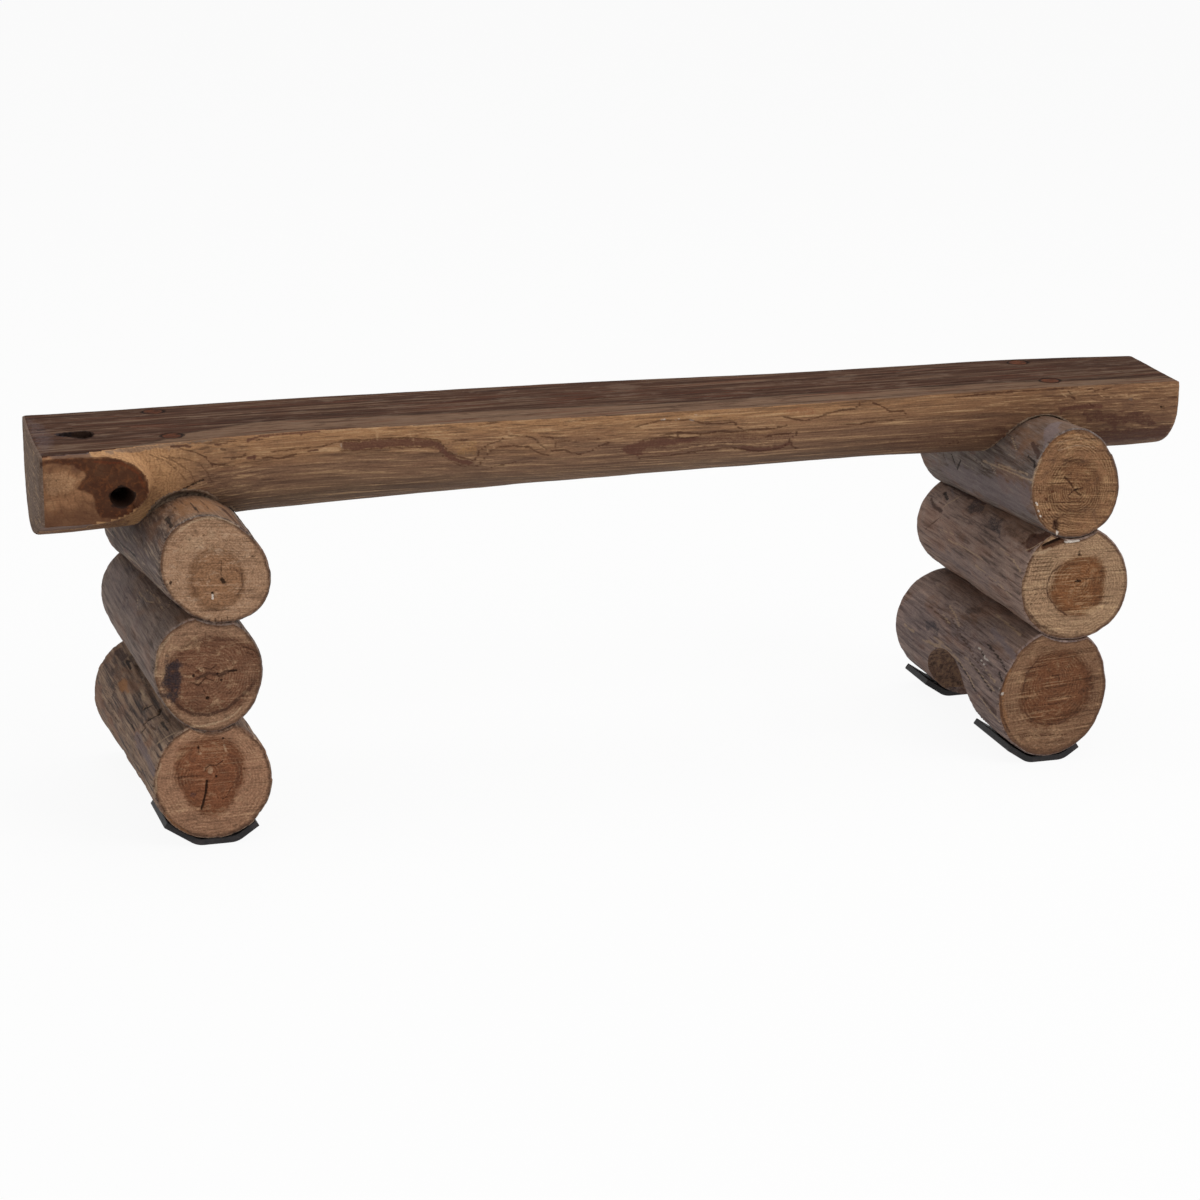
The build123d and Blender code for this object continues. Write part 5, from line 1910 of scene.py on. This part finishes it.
# Painted shade: the brown outline from x 470 to 492 and the brown patch from x 321 to 498, low on the front
# beside the right top log, darken the beam where it sits on that log.
BEAM_FRONT = read_marks("""
grey 4 0 0.6: -582,165 -561,166.5 -540,168.5
white 1.6 0 0.7: -560,156.5 -554,163
brown 1.6 0.3: -548,167.5 -537,168
brown 1.8 0.3: -534,167.5 -524,168
line 1.35 0.3 0.9: -537,169.5 -520,172.5 -508,177 -502,182 -494,184 -472,186.5 / -146,183 -128,184.5
  -117,186.5 -110,192 -99,198.5
line 1.3 0.2 0.7: -552,175 -532,177 -516,181 -506,189 -500,198 / -573,172.5 -556,177 -542,185 -531,194 /
  -561,173.5 -543,179 -526,187.5 -519,198.5 / -92,191 -68,192 -36,192.5 / -86,176 -68,175 -50,175.5 /
  -182,172 -160,170.5
dark 1.6 1: -534,202.5 -526,199.5 -516,197 -510,195.5
pale 1.6 0 0.8: -531,204.5 -519,201 -507,198.5 / -150,183.5 -146,178 -142,184
white 1.5 0 0.7: -498,136 -496,153.5
brown 1.4 0.3 0.9: -496,168.5 -488,168 -477,167 -470,166.5
line 1.3 0.2 0.8: -490,172 -484,173 / -346,182 -330,183 -306,183 -282,183.5 -260,185 -240,186 -231,189
  -224,196 -213,201.5 -201,206.5 -182,208 / -110,185.5 -93,188 -90,194.5 -93,200.5
blue 2.4 0 0.9: -456,167 -440,164.5 -417,164 -394,164.5 -372,164.5
brown 1.4 0.3 0.8: -447,167.5 -438,167
line 1.3 0.3: -477,180.5 -466,179.5 -458,178.5 / 558,171.5 561,174 / 562,177 567,178.5 / 582,171
  588,169.5 / 592,172 598,170.5 / 603,170.5 614,169 / 586,177.5 591,180 / 584,183 591,186
blue 2.6 0.2: -458,181 -447,180.5
brown 1.2 0.3 0.9: -447,179 -450,183
line 1.55 0.6: -440,182 -430,182 -422,184 -414,183.5 -399,181.5
line 1.3 0.3 0.9: -430,178 -405,177.5 -386,177.5 -370,177.5 -354,175 -344,175 / -188,202.5 -183,198
  -182,193.5 -174,189.5 -166,187.5 -158,186.5 -152,183.5 / -182,208 -176,201.5 -170,195 -158,191.5
  -140,192 -122,194 -108,201.5 -96,203.5 / -174,213 -159,209.5 -136,207.5 / 651,180.5 676,181 699,180.5
brown 2 0.5 0.9: -384,180 -374,179.5
pale 2.9 0 0.9: -369,180 -350,180.5
white 1.3 0 0.6: -346,176.5 -345,180.5
fill blue 1.2 0.7 0.9: -346,175 -324,175.5 -300,175.5 -276,176.5 -260,177.5 -242,179.5 -231,181.5
  -225,186 -219,192 -210,197 -196,201 -188,202.5 -186,206.5 -201,205.5 -214,200.5 -224,195 -231,188.5
  -238,185.5 -260,184.5 -282,183 -306,183 -330,182.5 -346,182
line 1.3 0.2 0.9: -346,174 -324,175 -300,175 -276,176 -260,177 -242,179 -231,181 -225,186 -218,192
  -208,196.5 -188,202
pale 1.9 0 0.8: -304,168.5 -303,176
line 1.3 0 0.7: -308,170 -308,175.5 / -270,174 -266,179
pale 2.7 0 0.7: -264,173.5 -261,178.5
grey 2 0 0.8: -228,184 -224,191.5
pale 1.3 0 0.7: -177,193 -178,197.5 / -171,191.5 -172,196 / -165,190.5 -165,193.5 / -206,187.5
  -190,186.5 / 146,208 171,211 198,210 / 676,186.5 675,192.5
dark 1.6 3: -160,187.5
fill ochre 3 0 0.5: -213,187 -202,183.5 -184,184.5 -183,191 -186,198 -201,196.5 -213,191.5
pale 1.3 0 0.6: -204,190 -194,189.5
line 1.3 0 0.8: -218,184 -208,182.5 -189,183.5
pale 1.7 0 1: -108,194 -102,197
line 1.45 0.3 1: -93,199.5 -78,199.5 -70,203 -58,205.5 -46,203 -36,198.5 -24,196.5
line 1.35 0.3 1: 6,184 24,181.5 36,180.5 74,181.5 86,184.5 111,186.5 128,185.5 134,191 140,192.5 /
  261,193 290,194 298,193 315,192 333,192 / 411,229 422,218.5 429,228
fill ochre 4 0 0.4: 12,182 36,175 86,175.5 134,178 138,189.5 111,185.5 86,183.5 36,183
white 1.3 0 0.8: 36,180 42,179.5 / 56,181 60,180 / 74,181.5 78,182.5 / 78,177.5 82,177.5
fill blue 2 0.4 0.9: -10,200.5 14,197 38,195.5 84,197.5 84,201 51,204 21,205.5 16,213 -2,209
line 1.35 0.4 1: 14,196.5 32,195.5 50,195.5 69,198 84,197.5
line 1.8 0.3 1: 87,195.5 111,193 128,195 142,194 162,193.5 180,193.5 194,191.5 / 200,206.5 207,202.5
  210,197.5 / 170,201.5 186,199.5 201,199
line 1.8 0.2 1: 39,193 62,192 87,194.5
line 1.45 0.4 1: 16,215 42,215 66,214 90,212 110,211.5 134,211
fill blue 1.6 0.5 1: 134,210.5 152,210 172,213 194,212 201,207.5 204,212.5 188,218 168,219 147,216
line 1.8 0.4 1: 134,211.5 147,214.5 165,218.5 186,217.5 198,214 202,206.5 207,214 214,218.5
brown 2.0 0 0.4: 140,198 172,199.5
pale 1.4 0 0.9: 26,210 64,209 88,206.5 108,206 140,207
brown 2.6 0 0.5: 88,201.5 112,201 138,201 176,204.5
red 5 0 0.6: 194,179 210,178 226,180.5
line 1.65 0.7: 192,183.5 204,186 218,188 225,187 237,184.5 249,182 262,180.5 280,179.5 288,176 288,171.5
  302,172 304,175 310,176.5 320,180 327,184 344,183.5 348,186.5 350,190
line 1.45 0.5 1: 411,173.5 470,171 534,169.5 570,168
blue 5 0 0.8: 550,188 573,186.5 600,186
fill brown 6 0 0.6: 574,193 652,194 658,205 630,209.5 582,199.5
pale 1.3 0 0.8: 549,173 555,176.5 / 598,175 604,178.5 / 612,178 633,175.5 636,178.5
grey 1.8 0.6: 639,178.5 639,184.5
dark 1.7 2.5: 681,189.5
fill grey 3 0 0.45: -495,162 -387,127.5 -270,131.5 -150,131 -30,136.5 94,132.5 284,134.5 274,171.5
  86,172 -38,173.5 -156,159 -274,152.5 -393,160 -495,166.5
fill brown 6 0 0.7: -703,205 -650,214 -610,222 -590,235 -600,262 -703,262 / 470,205 490,204 492,226
  472,230
brown 5 0 0.6: 404,229 412,226 419,225
fill brown 6 0 0.85: 575,214 640,210 700,212 700,234 640,238 575,240
fill blue 3 0.3 0.5: -4,201.5 12,195 84,196.5 136,195 196,195.5 210,202.5 204,214 168,219 134,211.5
  90,212 42,214.5 16,215 -2,209
fill brown 6 0 0.5: 321,217 396,207.5 472,201 498,227.5 434,235.5 334,236.5
brown 2 0.2 0.5: 147,213.5 174,217.5 195,216
fill grey 2 0 1: -633,139.5 -600,144 -570,143.5 -536,136.5 -508,134.5 -468,127 -474,162 -507,165.5
  -537,166.5 -570,168.5 -597,170.5 -627,170
fill brown 5 0 0.8: 574,191.5 658,194 675,208 616,207.5 582,199.5
fill brown 4 0 0.5: -590,193.5 -578,190.5 -555,201 -552,210.5 -562,216 -582,216.5
""")
# Painted shade: the sunk slot at the seat's left end is filled with near black, standing in for the shade
# inside it.
SEAT_MARKS = read_marks("""
line 0.85 1.6: -54,22 13,14 112,8 188,3 265,2
dark 1.8 1.6: -40,20 0,16
line 0.68 0.8 0.7: 265,2 330,0
fill blue 0.8 0 0.8: -674,18 -668,24 -650,25 -648,6 -664,4
fill dark 0.8 0 0.85: -668,20 -660,25 -650,26 -634,28 -626,21 -624,8 -631,-9 -642,-13 -652,-4 -662,7
fill grey 12 0 0.55: -703,-80 -684,-60 -672,0 -676,60 -692,112 -703,112
fill dark 0.7 10: -669,13 -660,17 -646,19 -634,20 -630,15 -628,6 -633,-5 -641,-8 -650,1 -661,8
line 1.2 0.4: -600,26 -585,30 -570,27
line 1.0 0.4: -612,12 -596,14
pale 5 0 0.5: -500,-45
line 1.02 0.5: -690,44 -640,40
line 0.85 0.5: -350,30 -240,22
line 0.77 0.4: 330,-20 470,-24 / -440,60 -330,54
""")
STUB_MARKS = read_marks("""
fill grey 1 0 1: -690,452 -590,452 -590,445 -650,445 -690,446.5
fill brown 3 0.3 0.95: -704,445 -682,447 -654,446 -622,444 -606,439 -593,432 -584,421 -579,407 -576,393
  -579,385 -589,377 -605,372 -620,371 -635,372 -641,380 -642,390 -643,396 -646,402 -653,406 -661,409
  -657,417 -652,422 -653,428 -660,432 -664,436 -673,439 -684,441 -696,440 -703,436
fill brown 4 0.2 0.28: -705,397 -684,393 -662,384 -641,372 -620,370 -597,372 -600,340 -705,340
fill pale 5 0 0.6: -700,432 -672,432 -660,420 -666,404 -690,402 -700,406
dark 3 1.5: -623,398 -611,408 -597,399 -608,386 -620,387
pale 1.7 0.3 0.5: -598,403 -594,397 -597,390
pale 2.4 -0.5 0.8: -620,361 -605,364 -591,369 -583,376 -576,382
dark 1.6 0.4 0.8: -685,421
red 2.5 0 0.6: -640,440 -610,436 -592,424 -584,406
line 0.85 0.3 0.6: -676,436 -655,430
line 0.85 0.4 0.6: -698,420 -688,424 -680,421
""")
HEARTS = {
    "left_top_log": HeartRing(
        (4, -10),
        ((-30, -5), (-23, 14), (-3, 24), (17, 18), (34, -8), (33, -30), (13, -46), (-8, -46), (-26, -32)),
    ),
    "left_middle_log": HeartRing(
        (5, 0), ((-50, -5), (-40, 28), (0, 45), (30, 42), (62, 20), (50, -25), (0, -47), (-40, -35))
    ),
    "left_bottom_log": HeartRing(
        (-3, 5),
        ((-45, 15), (-38, 42), (0, 52), (28, 42), (38, 15), (30, -15), (8, -42), (-20, -35), (-35, -10)),
    ),
    "right_top_log": HeartRing(
        (0, -5), ((35, -5), (24, 20), (0, 30), (-26, 20), (-36, -5), (-24, -30), (0, -40), (24, -30))
    ),
    "right_middle_log": HeartRing(
        (8, -4),
        ((-20, 25), (5, 33), (35, 25), (40, 0), (38, -22), (10, -42), (-15, -35), (-32, -15), (-30, 5)),
    ),
    "right_bottom_log": HeartRing(
        (3, 3),
        (
            (-42, 0), (-35, 30), (-25, 45), (0, 52), (20, 50),
            (50, 20), (45, -20), (10, -40), (-20, -40), (-40, -20),
        ),
    ),
}


@dataclass
class Stack:
    """Three logs and two foot pads."""

    side: str
    logs: tuple
    pads: tuple

    def build(self, rubber: bpy.types.Material) -> None:
        """Makes the logs and pads, which stand for their CAD nodes.

        Args:
            rubber: the pads' finish.
        """
        cut = RoughCut(f"{self.side} scoops").material()
        for piece, end, flank in self.logs:
            piece.heart = HEARTS[piece.name]
            grain = end.material()
            materials = [flank.material(), grain, grain, cut]
            place(piece.skin().piece(piece.name + "_dressed", materials), piece.name, Slot.STACK)
        for pad in self.pads:
            place(pad.piece(rubber), pad.name, Slot.RUBBER)


def place(shape: bpy.types.Object, node: str, slot: Slot) -> None:
    """Declares a piece: the body it rides on and the node that it stands for."""
    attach(shape, "root")
    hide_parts(node)
    log.info("%s: %d faces", shape.name, len(shape.data.polygons))


def stand_at(across: Array, up: Array, back: Array, at: tuple) -> Matrix:
    """The matrix of a lamp or camera that has these three axes and stands at a place."""
    matrix = np.eye(4)
    matrix[:3] = np.stack([across, up, back, at], axis=-1)
    return Matrix(matrix.tolist())


@dataclass
class Studio:
    """A pale floor, a soft key from the right, a fill, and the camera."""

    focus: float = 112.556
    stand: tuple = (-1.2919268, -4.18910777, 1.52394831)
    forward: tuple = (0.27908777, 0.91567358, -0.28922639)
    yaw: float = 16.9507
    roll: float = 0.3131

    def camera(self) -> None:
        """Looks along the forward direction, level but for a small roll."""
        forward = np.array(self.forward)
        yaw, roll = np.radians(self.yaw), np.radians(self.roll)
        right = np.array([np.cos(yaw), -np.sin(yaw), 0.0])
        up = np.cross(right, forward)
        level_right = right * np.cos(roll) + up * np.sin(roll)
        level_up = up * np.cos(roll) - right * np.sin(roll)
        data = bpy.data.cameras.new("camera")
        data.lens = self.focus
        data.sensor_width = 36.0
        data.sensor_fit = "HORIZONTAL"
        data.clip_end = 60.0
        made = bpy.data.objects.new("camera", data)
        made.matrix_world = stand_at(level_right, level_up, -forward, self.stand)
        bpy.context.scene.collection.objects.link(made)
        bpy.context.scene.camera = made

    def lamp(self, name: str, at: tuple, aim: tuple, size: float, power: float) -> None:
        """A square soft box that faces a point."""
        data = bpy.data.lights.new(name, "AREA")
        data.size = size
        data.energy = power
        made = bpy.data.objects.new(name, data)
        back = np.array(at) - np.array(aim)
        back = back / np.linalg.norm(back)
        across = np.cross([0.0, 0.0, 1.0], back)
        across = across / np.linalg.norm(across)
        made.matrix_world = stand_at(across, np.cross(back, across), back, at)
        bpy.context.scene.collection.objects.link(made)

    def seen(self, d: Dresser) -> Wire:
        """One for rays that show the background as it is: camera, glossy and transmission rays."""
        total = d.node("ShaderNodeLightPath", {}, {}, "Is Camera Ray")
        total = total.most(d.node("ShaderNodeLightPath", {}, {}, "Is Glossy Ray"))
        return total.most(d.node("ShaderNodeLightPath", {}, {}, "Is Transmission Ray"))

    def world(self) -> None:
        """White where it is seen, and a plain soft grey light on the object."""
        world = bpy.data.worlds.new("studio")
        world.use_nodes = True
        bpy.context.scene.world = world
        world.node_tree.nodes.clear()
        d = Dresser.for_tree(world.node_tree)
        strength = mix(0.42, 1.0, self.seen(d))
        back = d.node("ShaderNodeBackground", {}, {"Color": tone("ffffff"), "Strength": strength})
        out = d.tree.nodes.new("ShaderNodeOutputWorld")
        d.tree.links.new(back.socket, out.inputs["Surface"])

    def floor(self) -> None:
        """A wide pale floor that keeps the bench's shadow."""
        corners = [(-9, -9, 0), (9, -9, 0), (9, 9, 0), (-9, 9, 0)]
        mesh = bpy.data.meshes.new("floor")
        mesh.from_pydata(corners, [], [(0, 1, 2, 3)])
        d = Dresser("pale floor")
        cloud = d.noise((400, 400, 400), 2.0)
        colour = d.blend(tone("e9e9e8"), tone("f2f2f1"), cloud)
        matt = d.node("ShaderNodeBsdfDiffuse", {}, {"Color": colour})
        white = d.node("ShaderNodeEmission", {}, {"Color": tone("ffffff"), "Strength": 1.0})
        share = self.seen(d) * 0.93
        shader = d.node("ShaderNodeMixShader", {}, {0: share, 1: matt, 2: white})
        out = d.tree.nodes.new("ShaderNodeOutputMaterial")
        d.tree.links.new(shader.socket, out.inputs["Surface"])
        mesh.materials.append(d.material)
        made = bpy.data.objects.new("floor", mesh)
        bpy.context.scene.collection.objects.link(made)

    def build(self) -> None:
        """Sets everything up."""
        bpy.context.scene.view_settings.view_transform = "Standard"
        self.camera()
        self.world()
        self.floor()
        self.lamp("key", (2.6, -3.2, 3.4), (0.0, 0.0, 0.25), 2.6, 95.0)
        self.lamp("fill", (-3.2, -3.4, 1.8), (0.0, 0.0, 0.25), 3.0, 22.0)
        self.lamp("top", (0.2, 0.6, 4.0), (0.0, 0.0, 0.3), 3.0, 55.0)


def pockets(side: str, top: float) -> tuple:
    """The pockets over a stack's lower nuts, in line with its plugs."""
    places = (PLUGS[f"{side}_front_plug"], PLUGS[f"{side}_back_plug"])
    return tuple(Bore(place, (POCKET_RADIUS,) * 2, top, inwards=1.0) for place in places)


def left_stack() -> Stack:
    """The left logs from the floor up, each with its two finishes, and the left pads."""
    bottom = StackLog(
        "left_bottom_log", LEFT_LOGS[0], above=LEFT_LOGS[1], arch=(-12.0, 140.0, 45.0), seed=11,
        pith=(-3.0, 12.0), marks=LEFT_BOTTOM_END, flank_marks=LEFT_BOTTOM_FLANK, bark=0.9,
        pockets=pockets("left", LEFT_POCKET_TOP),
    )
    bottom_end = EndGrain(
        "left bottom end", sap="9a735a", heart="7c4d35",
        saw=0.28, saw_tilt=0.0, heart_share=0.95, edge_share=0.25,
    )
    bottom_flank = Flank(
        "left bottom flank", base="816959", light="9c826d", plates=0.4, warmth=0.55, contrast=1.0
    )
    middle = StackLog(
        "left_middle_log", LEFT_LOGS[1], above=LEFT_LOGS[2], seed=23, pith=(2.0, -3.0),
        marks=LEFT_MIDDLE_END, flank_marks=LEFT_MIDDLE_FLANK,
    )
    middle_end = EndGrain(
        "left middle end", sap="8e6d56", heart="6c4735", line="3a2119",
        rings=0.08, saw=0.28, saw_tilt=-0.04, mottle=0.6,
    )
    middle_flank = Flank(
        "left middle flank", base="736259", light="89776d", bright="a08c7f",
        contrast=0.75, warmth=0.3, plates=0.08, fine=0.35,
    )
    top = StackLog(
        "left_top_log", LEFT_LOGS[2], saddle=LEFT_SADDLE, seed=37, pith=(4.0, -8.0),
        marks=LEFT_TOP_END, flank_marks=LEFT_TOP_FLANK, bark=0.5,
    )
    top_end = EndGrain(
        "left top end", sap="a07d62", heart="8b6142", light="c4a88e",
        heart_share=0.65, edge_share=0.3, rings=0.08, saw=0.34, mottle=0.5,
    )
    top_flank = Flank("left top flank", base="5e4f48", crown="8a6649", crown_share=0.7, plates=0.3)
    logs = ((bottom, bottom_end, bottom_flank), (middle, middle_end, middle_flank), (top, top_end, top_flank))
    pads = (
        FootPad("left_front_foot_pad", LEFT_LOGS[0], shift=5.0, length=88.0, wings=(45.0, 30.0)),
        FootPad(
            "left_back_foot_pad", LEFT_LOGS[0], shift=1.0, length=80.0, wings=(34.0, 34.0), at_back=True
        ),
    )
    return Stack("left", logs, pads)


def right_stack() -> Stack:
    """The right logs from the floor up, each with its two finishes, and the right pads."""
    bottom = StackLog(
        "right_bottom_log", RIGHT_LOGS[0], above=RIGHT_LOGS[1], arch=(-3.0, 158.0, 97.0), seed=41,
        pith=(3.0, 19.0), marks=RIGHT_BOTTOM_END, flank_marks=RIGHT_BOTTOM_FLANK, bark=0.4,
        pockets=pockets("right", RIGHT_POCKET_TOP),
    )
    bottom_end = EndGrain(
        "right bottom end", sap="7d5d47", heart="6d452f", light="b39270",
        heart_share=0.9, saw=0.5, saw_tilt=0.06,
    )
    bottom_flank = Flank(
        "right bottom flank", dark="524340", base="7c6a64", light="917c73", bright="ae9585",
        contrast=0.85, warmth=0.35, fine=0.5,
    )
    middle = StackLog(
        "right_middle_log", RIGHT_LOGS[1], above=RIGHT_LOGS[2], seed=53, pith=(4.0, 2.0),
        marks=RIGHT_MIDDLE_END, flank_marks=RIGHT_MIDDLE_FLANK,
    )
    middle_end = EndGrain(
        "right middle end", sap="9a7b60", heart="7a4f32", light="caab85",
        heart_share=0.95, saw=0.5, saw_tilt=-0.02, mottle=0.3,
    )
    middle_flank = Flank(
        "right middle flank", dark="574740", base="877065", light="957f73", bright="ab9483",
        warmth=0.35, contrast=0.75, plates=0.1, fine=0.35,
    )
    top = StackLog(
        "right_top_log", RIGHT_LOGS[2], saddle=RIGHT_SADDLE, seed=67, pith=(0.0, -8.0),
        marks=RIGHT_TOP_END, flank_marks=RIGHT_TOP_FLANK,
    )
    top_end = EndGrain(
        "right top end", sap="856146", heart="6d4a33", light="b39069",
        heart_share=0.6, rings=0.24, saw=0.55, saw_tilt=-0.09, mottle=0.6,
    )
    top_flank = Flank(
        "right top flank", base="685b55", light="7c7069", crown="6f533f",
        contrast=0.75, plates=0.05, crown_share=0.6,
    )
    logs = ((bottom, bottom_end, bottom_flank), (middle, middle_end, middle_flank), (top, top_end, top_flank))
    pads = (
        FootPad("right_front_foot_pad", RIGHT_LOGS[0], shift=-18.0, length=112.0, wings=(31.0, 24.0)),
        FootPad(
            "right_back_foot_pad", RIGHT_LOGS[0], shift=-18.0, length=72.0, wings=(33.0, 28.0), at_back=True
        ),
    )
    return Stack("right", logs, pads)


def build_seat() -> None:
    """Makes the beam, with its five finishes in the order of its bands."""
    beam = SeatBeam(
        tops=((LEFT_LOGS[2], LEFT_SADDLE, FLARE_WIDTH), (RIGHT_LOGS[2], RIGHT_SADDLE, RIGHT_FLARE_WIDTH)),
        plugs=tuple(PLUGS.values()),
        front_marks=BEAM_FRONT,
        top_marks=SEAT_MARKS,
        stub_marks=STUB_MARKS,
    )
    finishes = (
        BeamRound(
            "beam round", deep="644e3e", under="7a5d49", base="80604a", light="906b4d",
            dark="4a352b", warm="9e7551", bright="b8946e",
        ),
        SawnTop(),
        StubFace(),
        RoughCut("copes", base="8d7663", light="a8917b", dark="57453a"),
        EndGrain("beam end", sap="867265", heart="716056", rim="6f5c50", mottle=0.6),
    )
    materials = [finish.material() for finish in finishes]
    place(beam.skin().piece("seat_beam_dressed", materials), "seat_beam", Slot.SEAT)


def main() -> None:
    """Builds the bench and its studio."""
    logging.basicConfig(level=logging.INFO, format="%(name)s %(message)s", force=True)
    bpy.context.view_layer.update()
    Studio().build()
    rubber = Rubber().material()
    for stack in (left_stack(), right_stack()):
        stack.build(rubber)
    build_seat()
    plug_finish = PlugGrain().material()
    for name, (x, y) in PLUGS.items():
        place(Plug(name, x, y).skin().piece(name + "_dressed", [plug_finish]), name, Slot.PLUG)
    zinc = ZincSteel().material()
    for name in METAL_NODES:
        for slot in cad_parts[name].material_slots:
            slot.material = zinc
        log.info("%s: zinc", name)


if __name__ == "__main__":
    main()
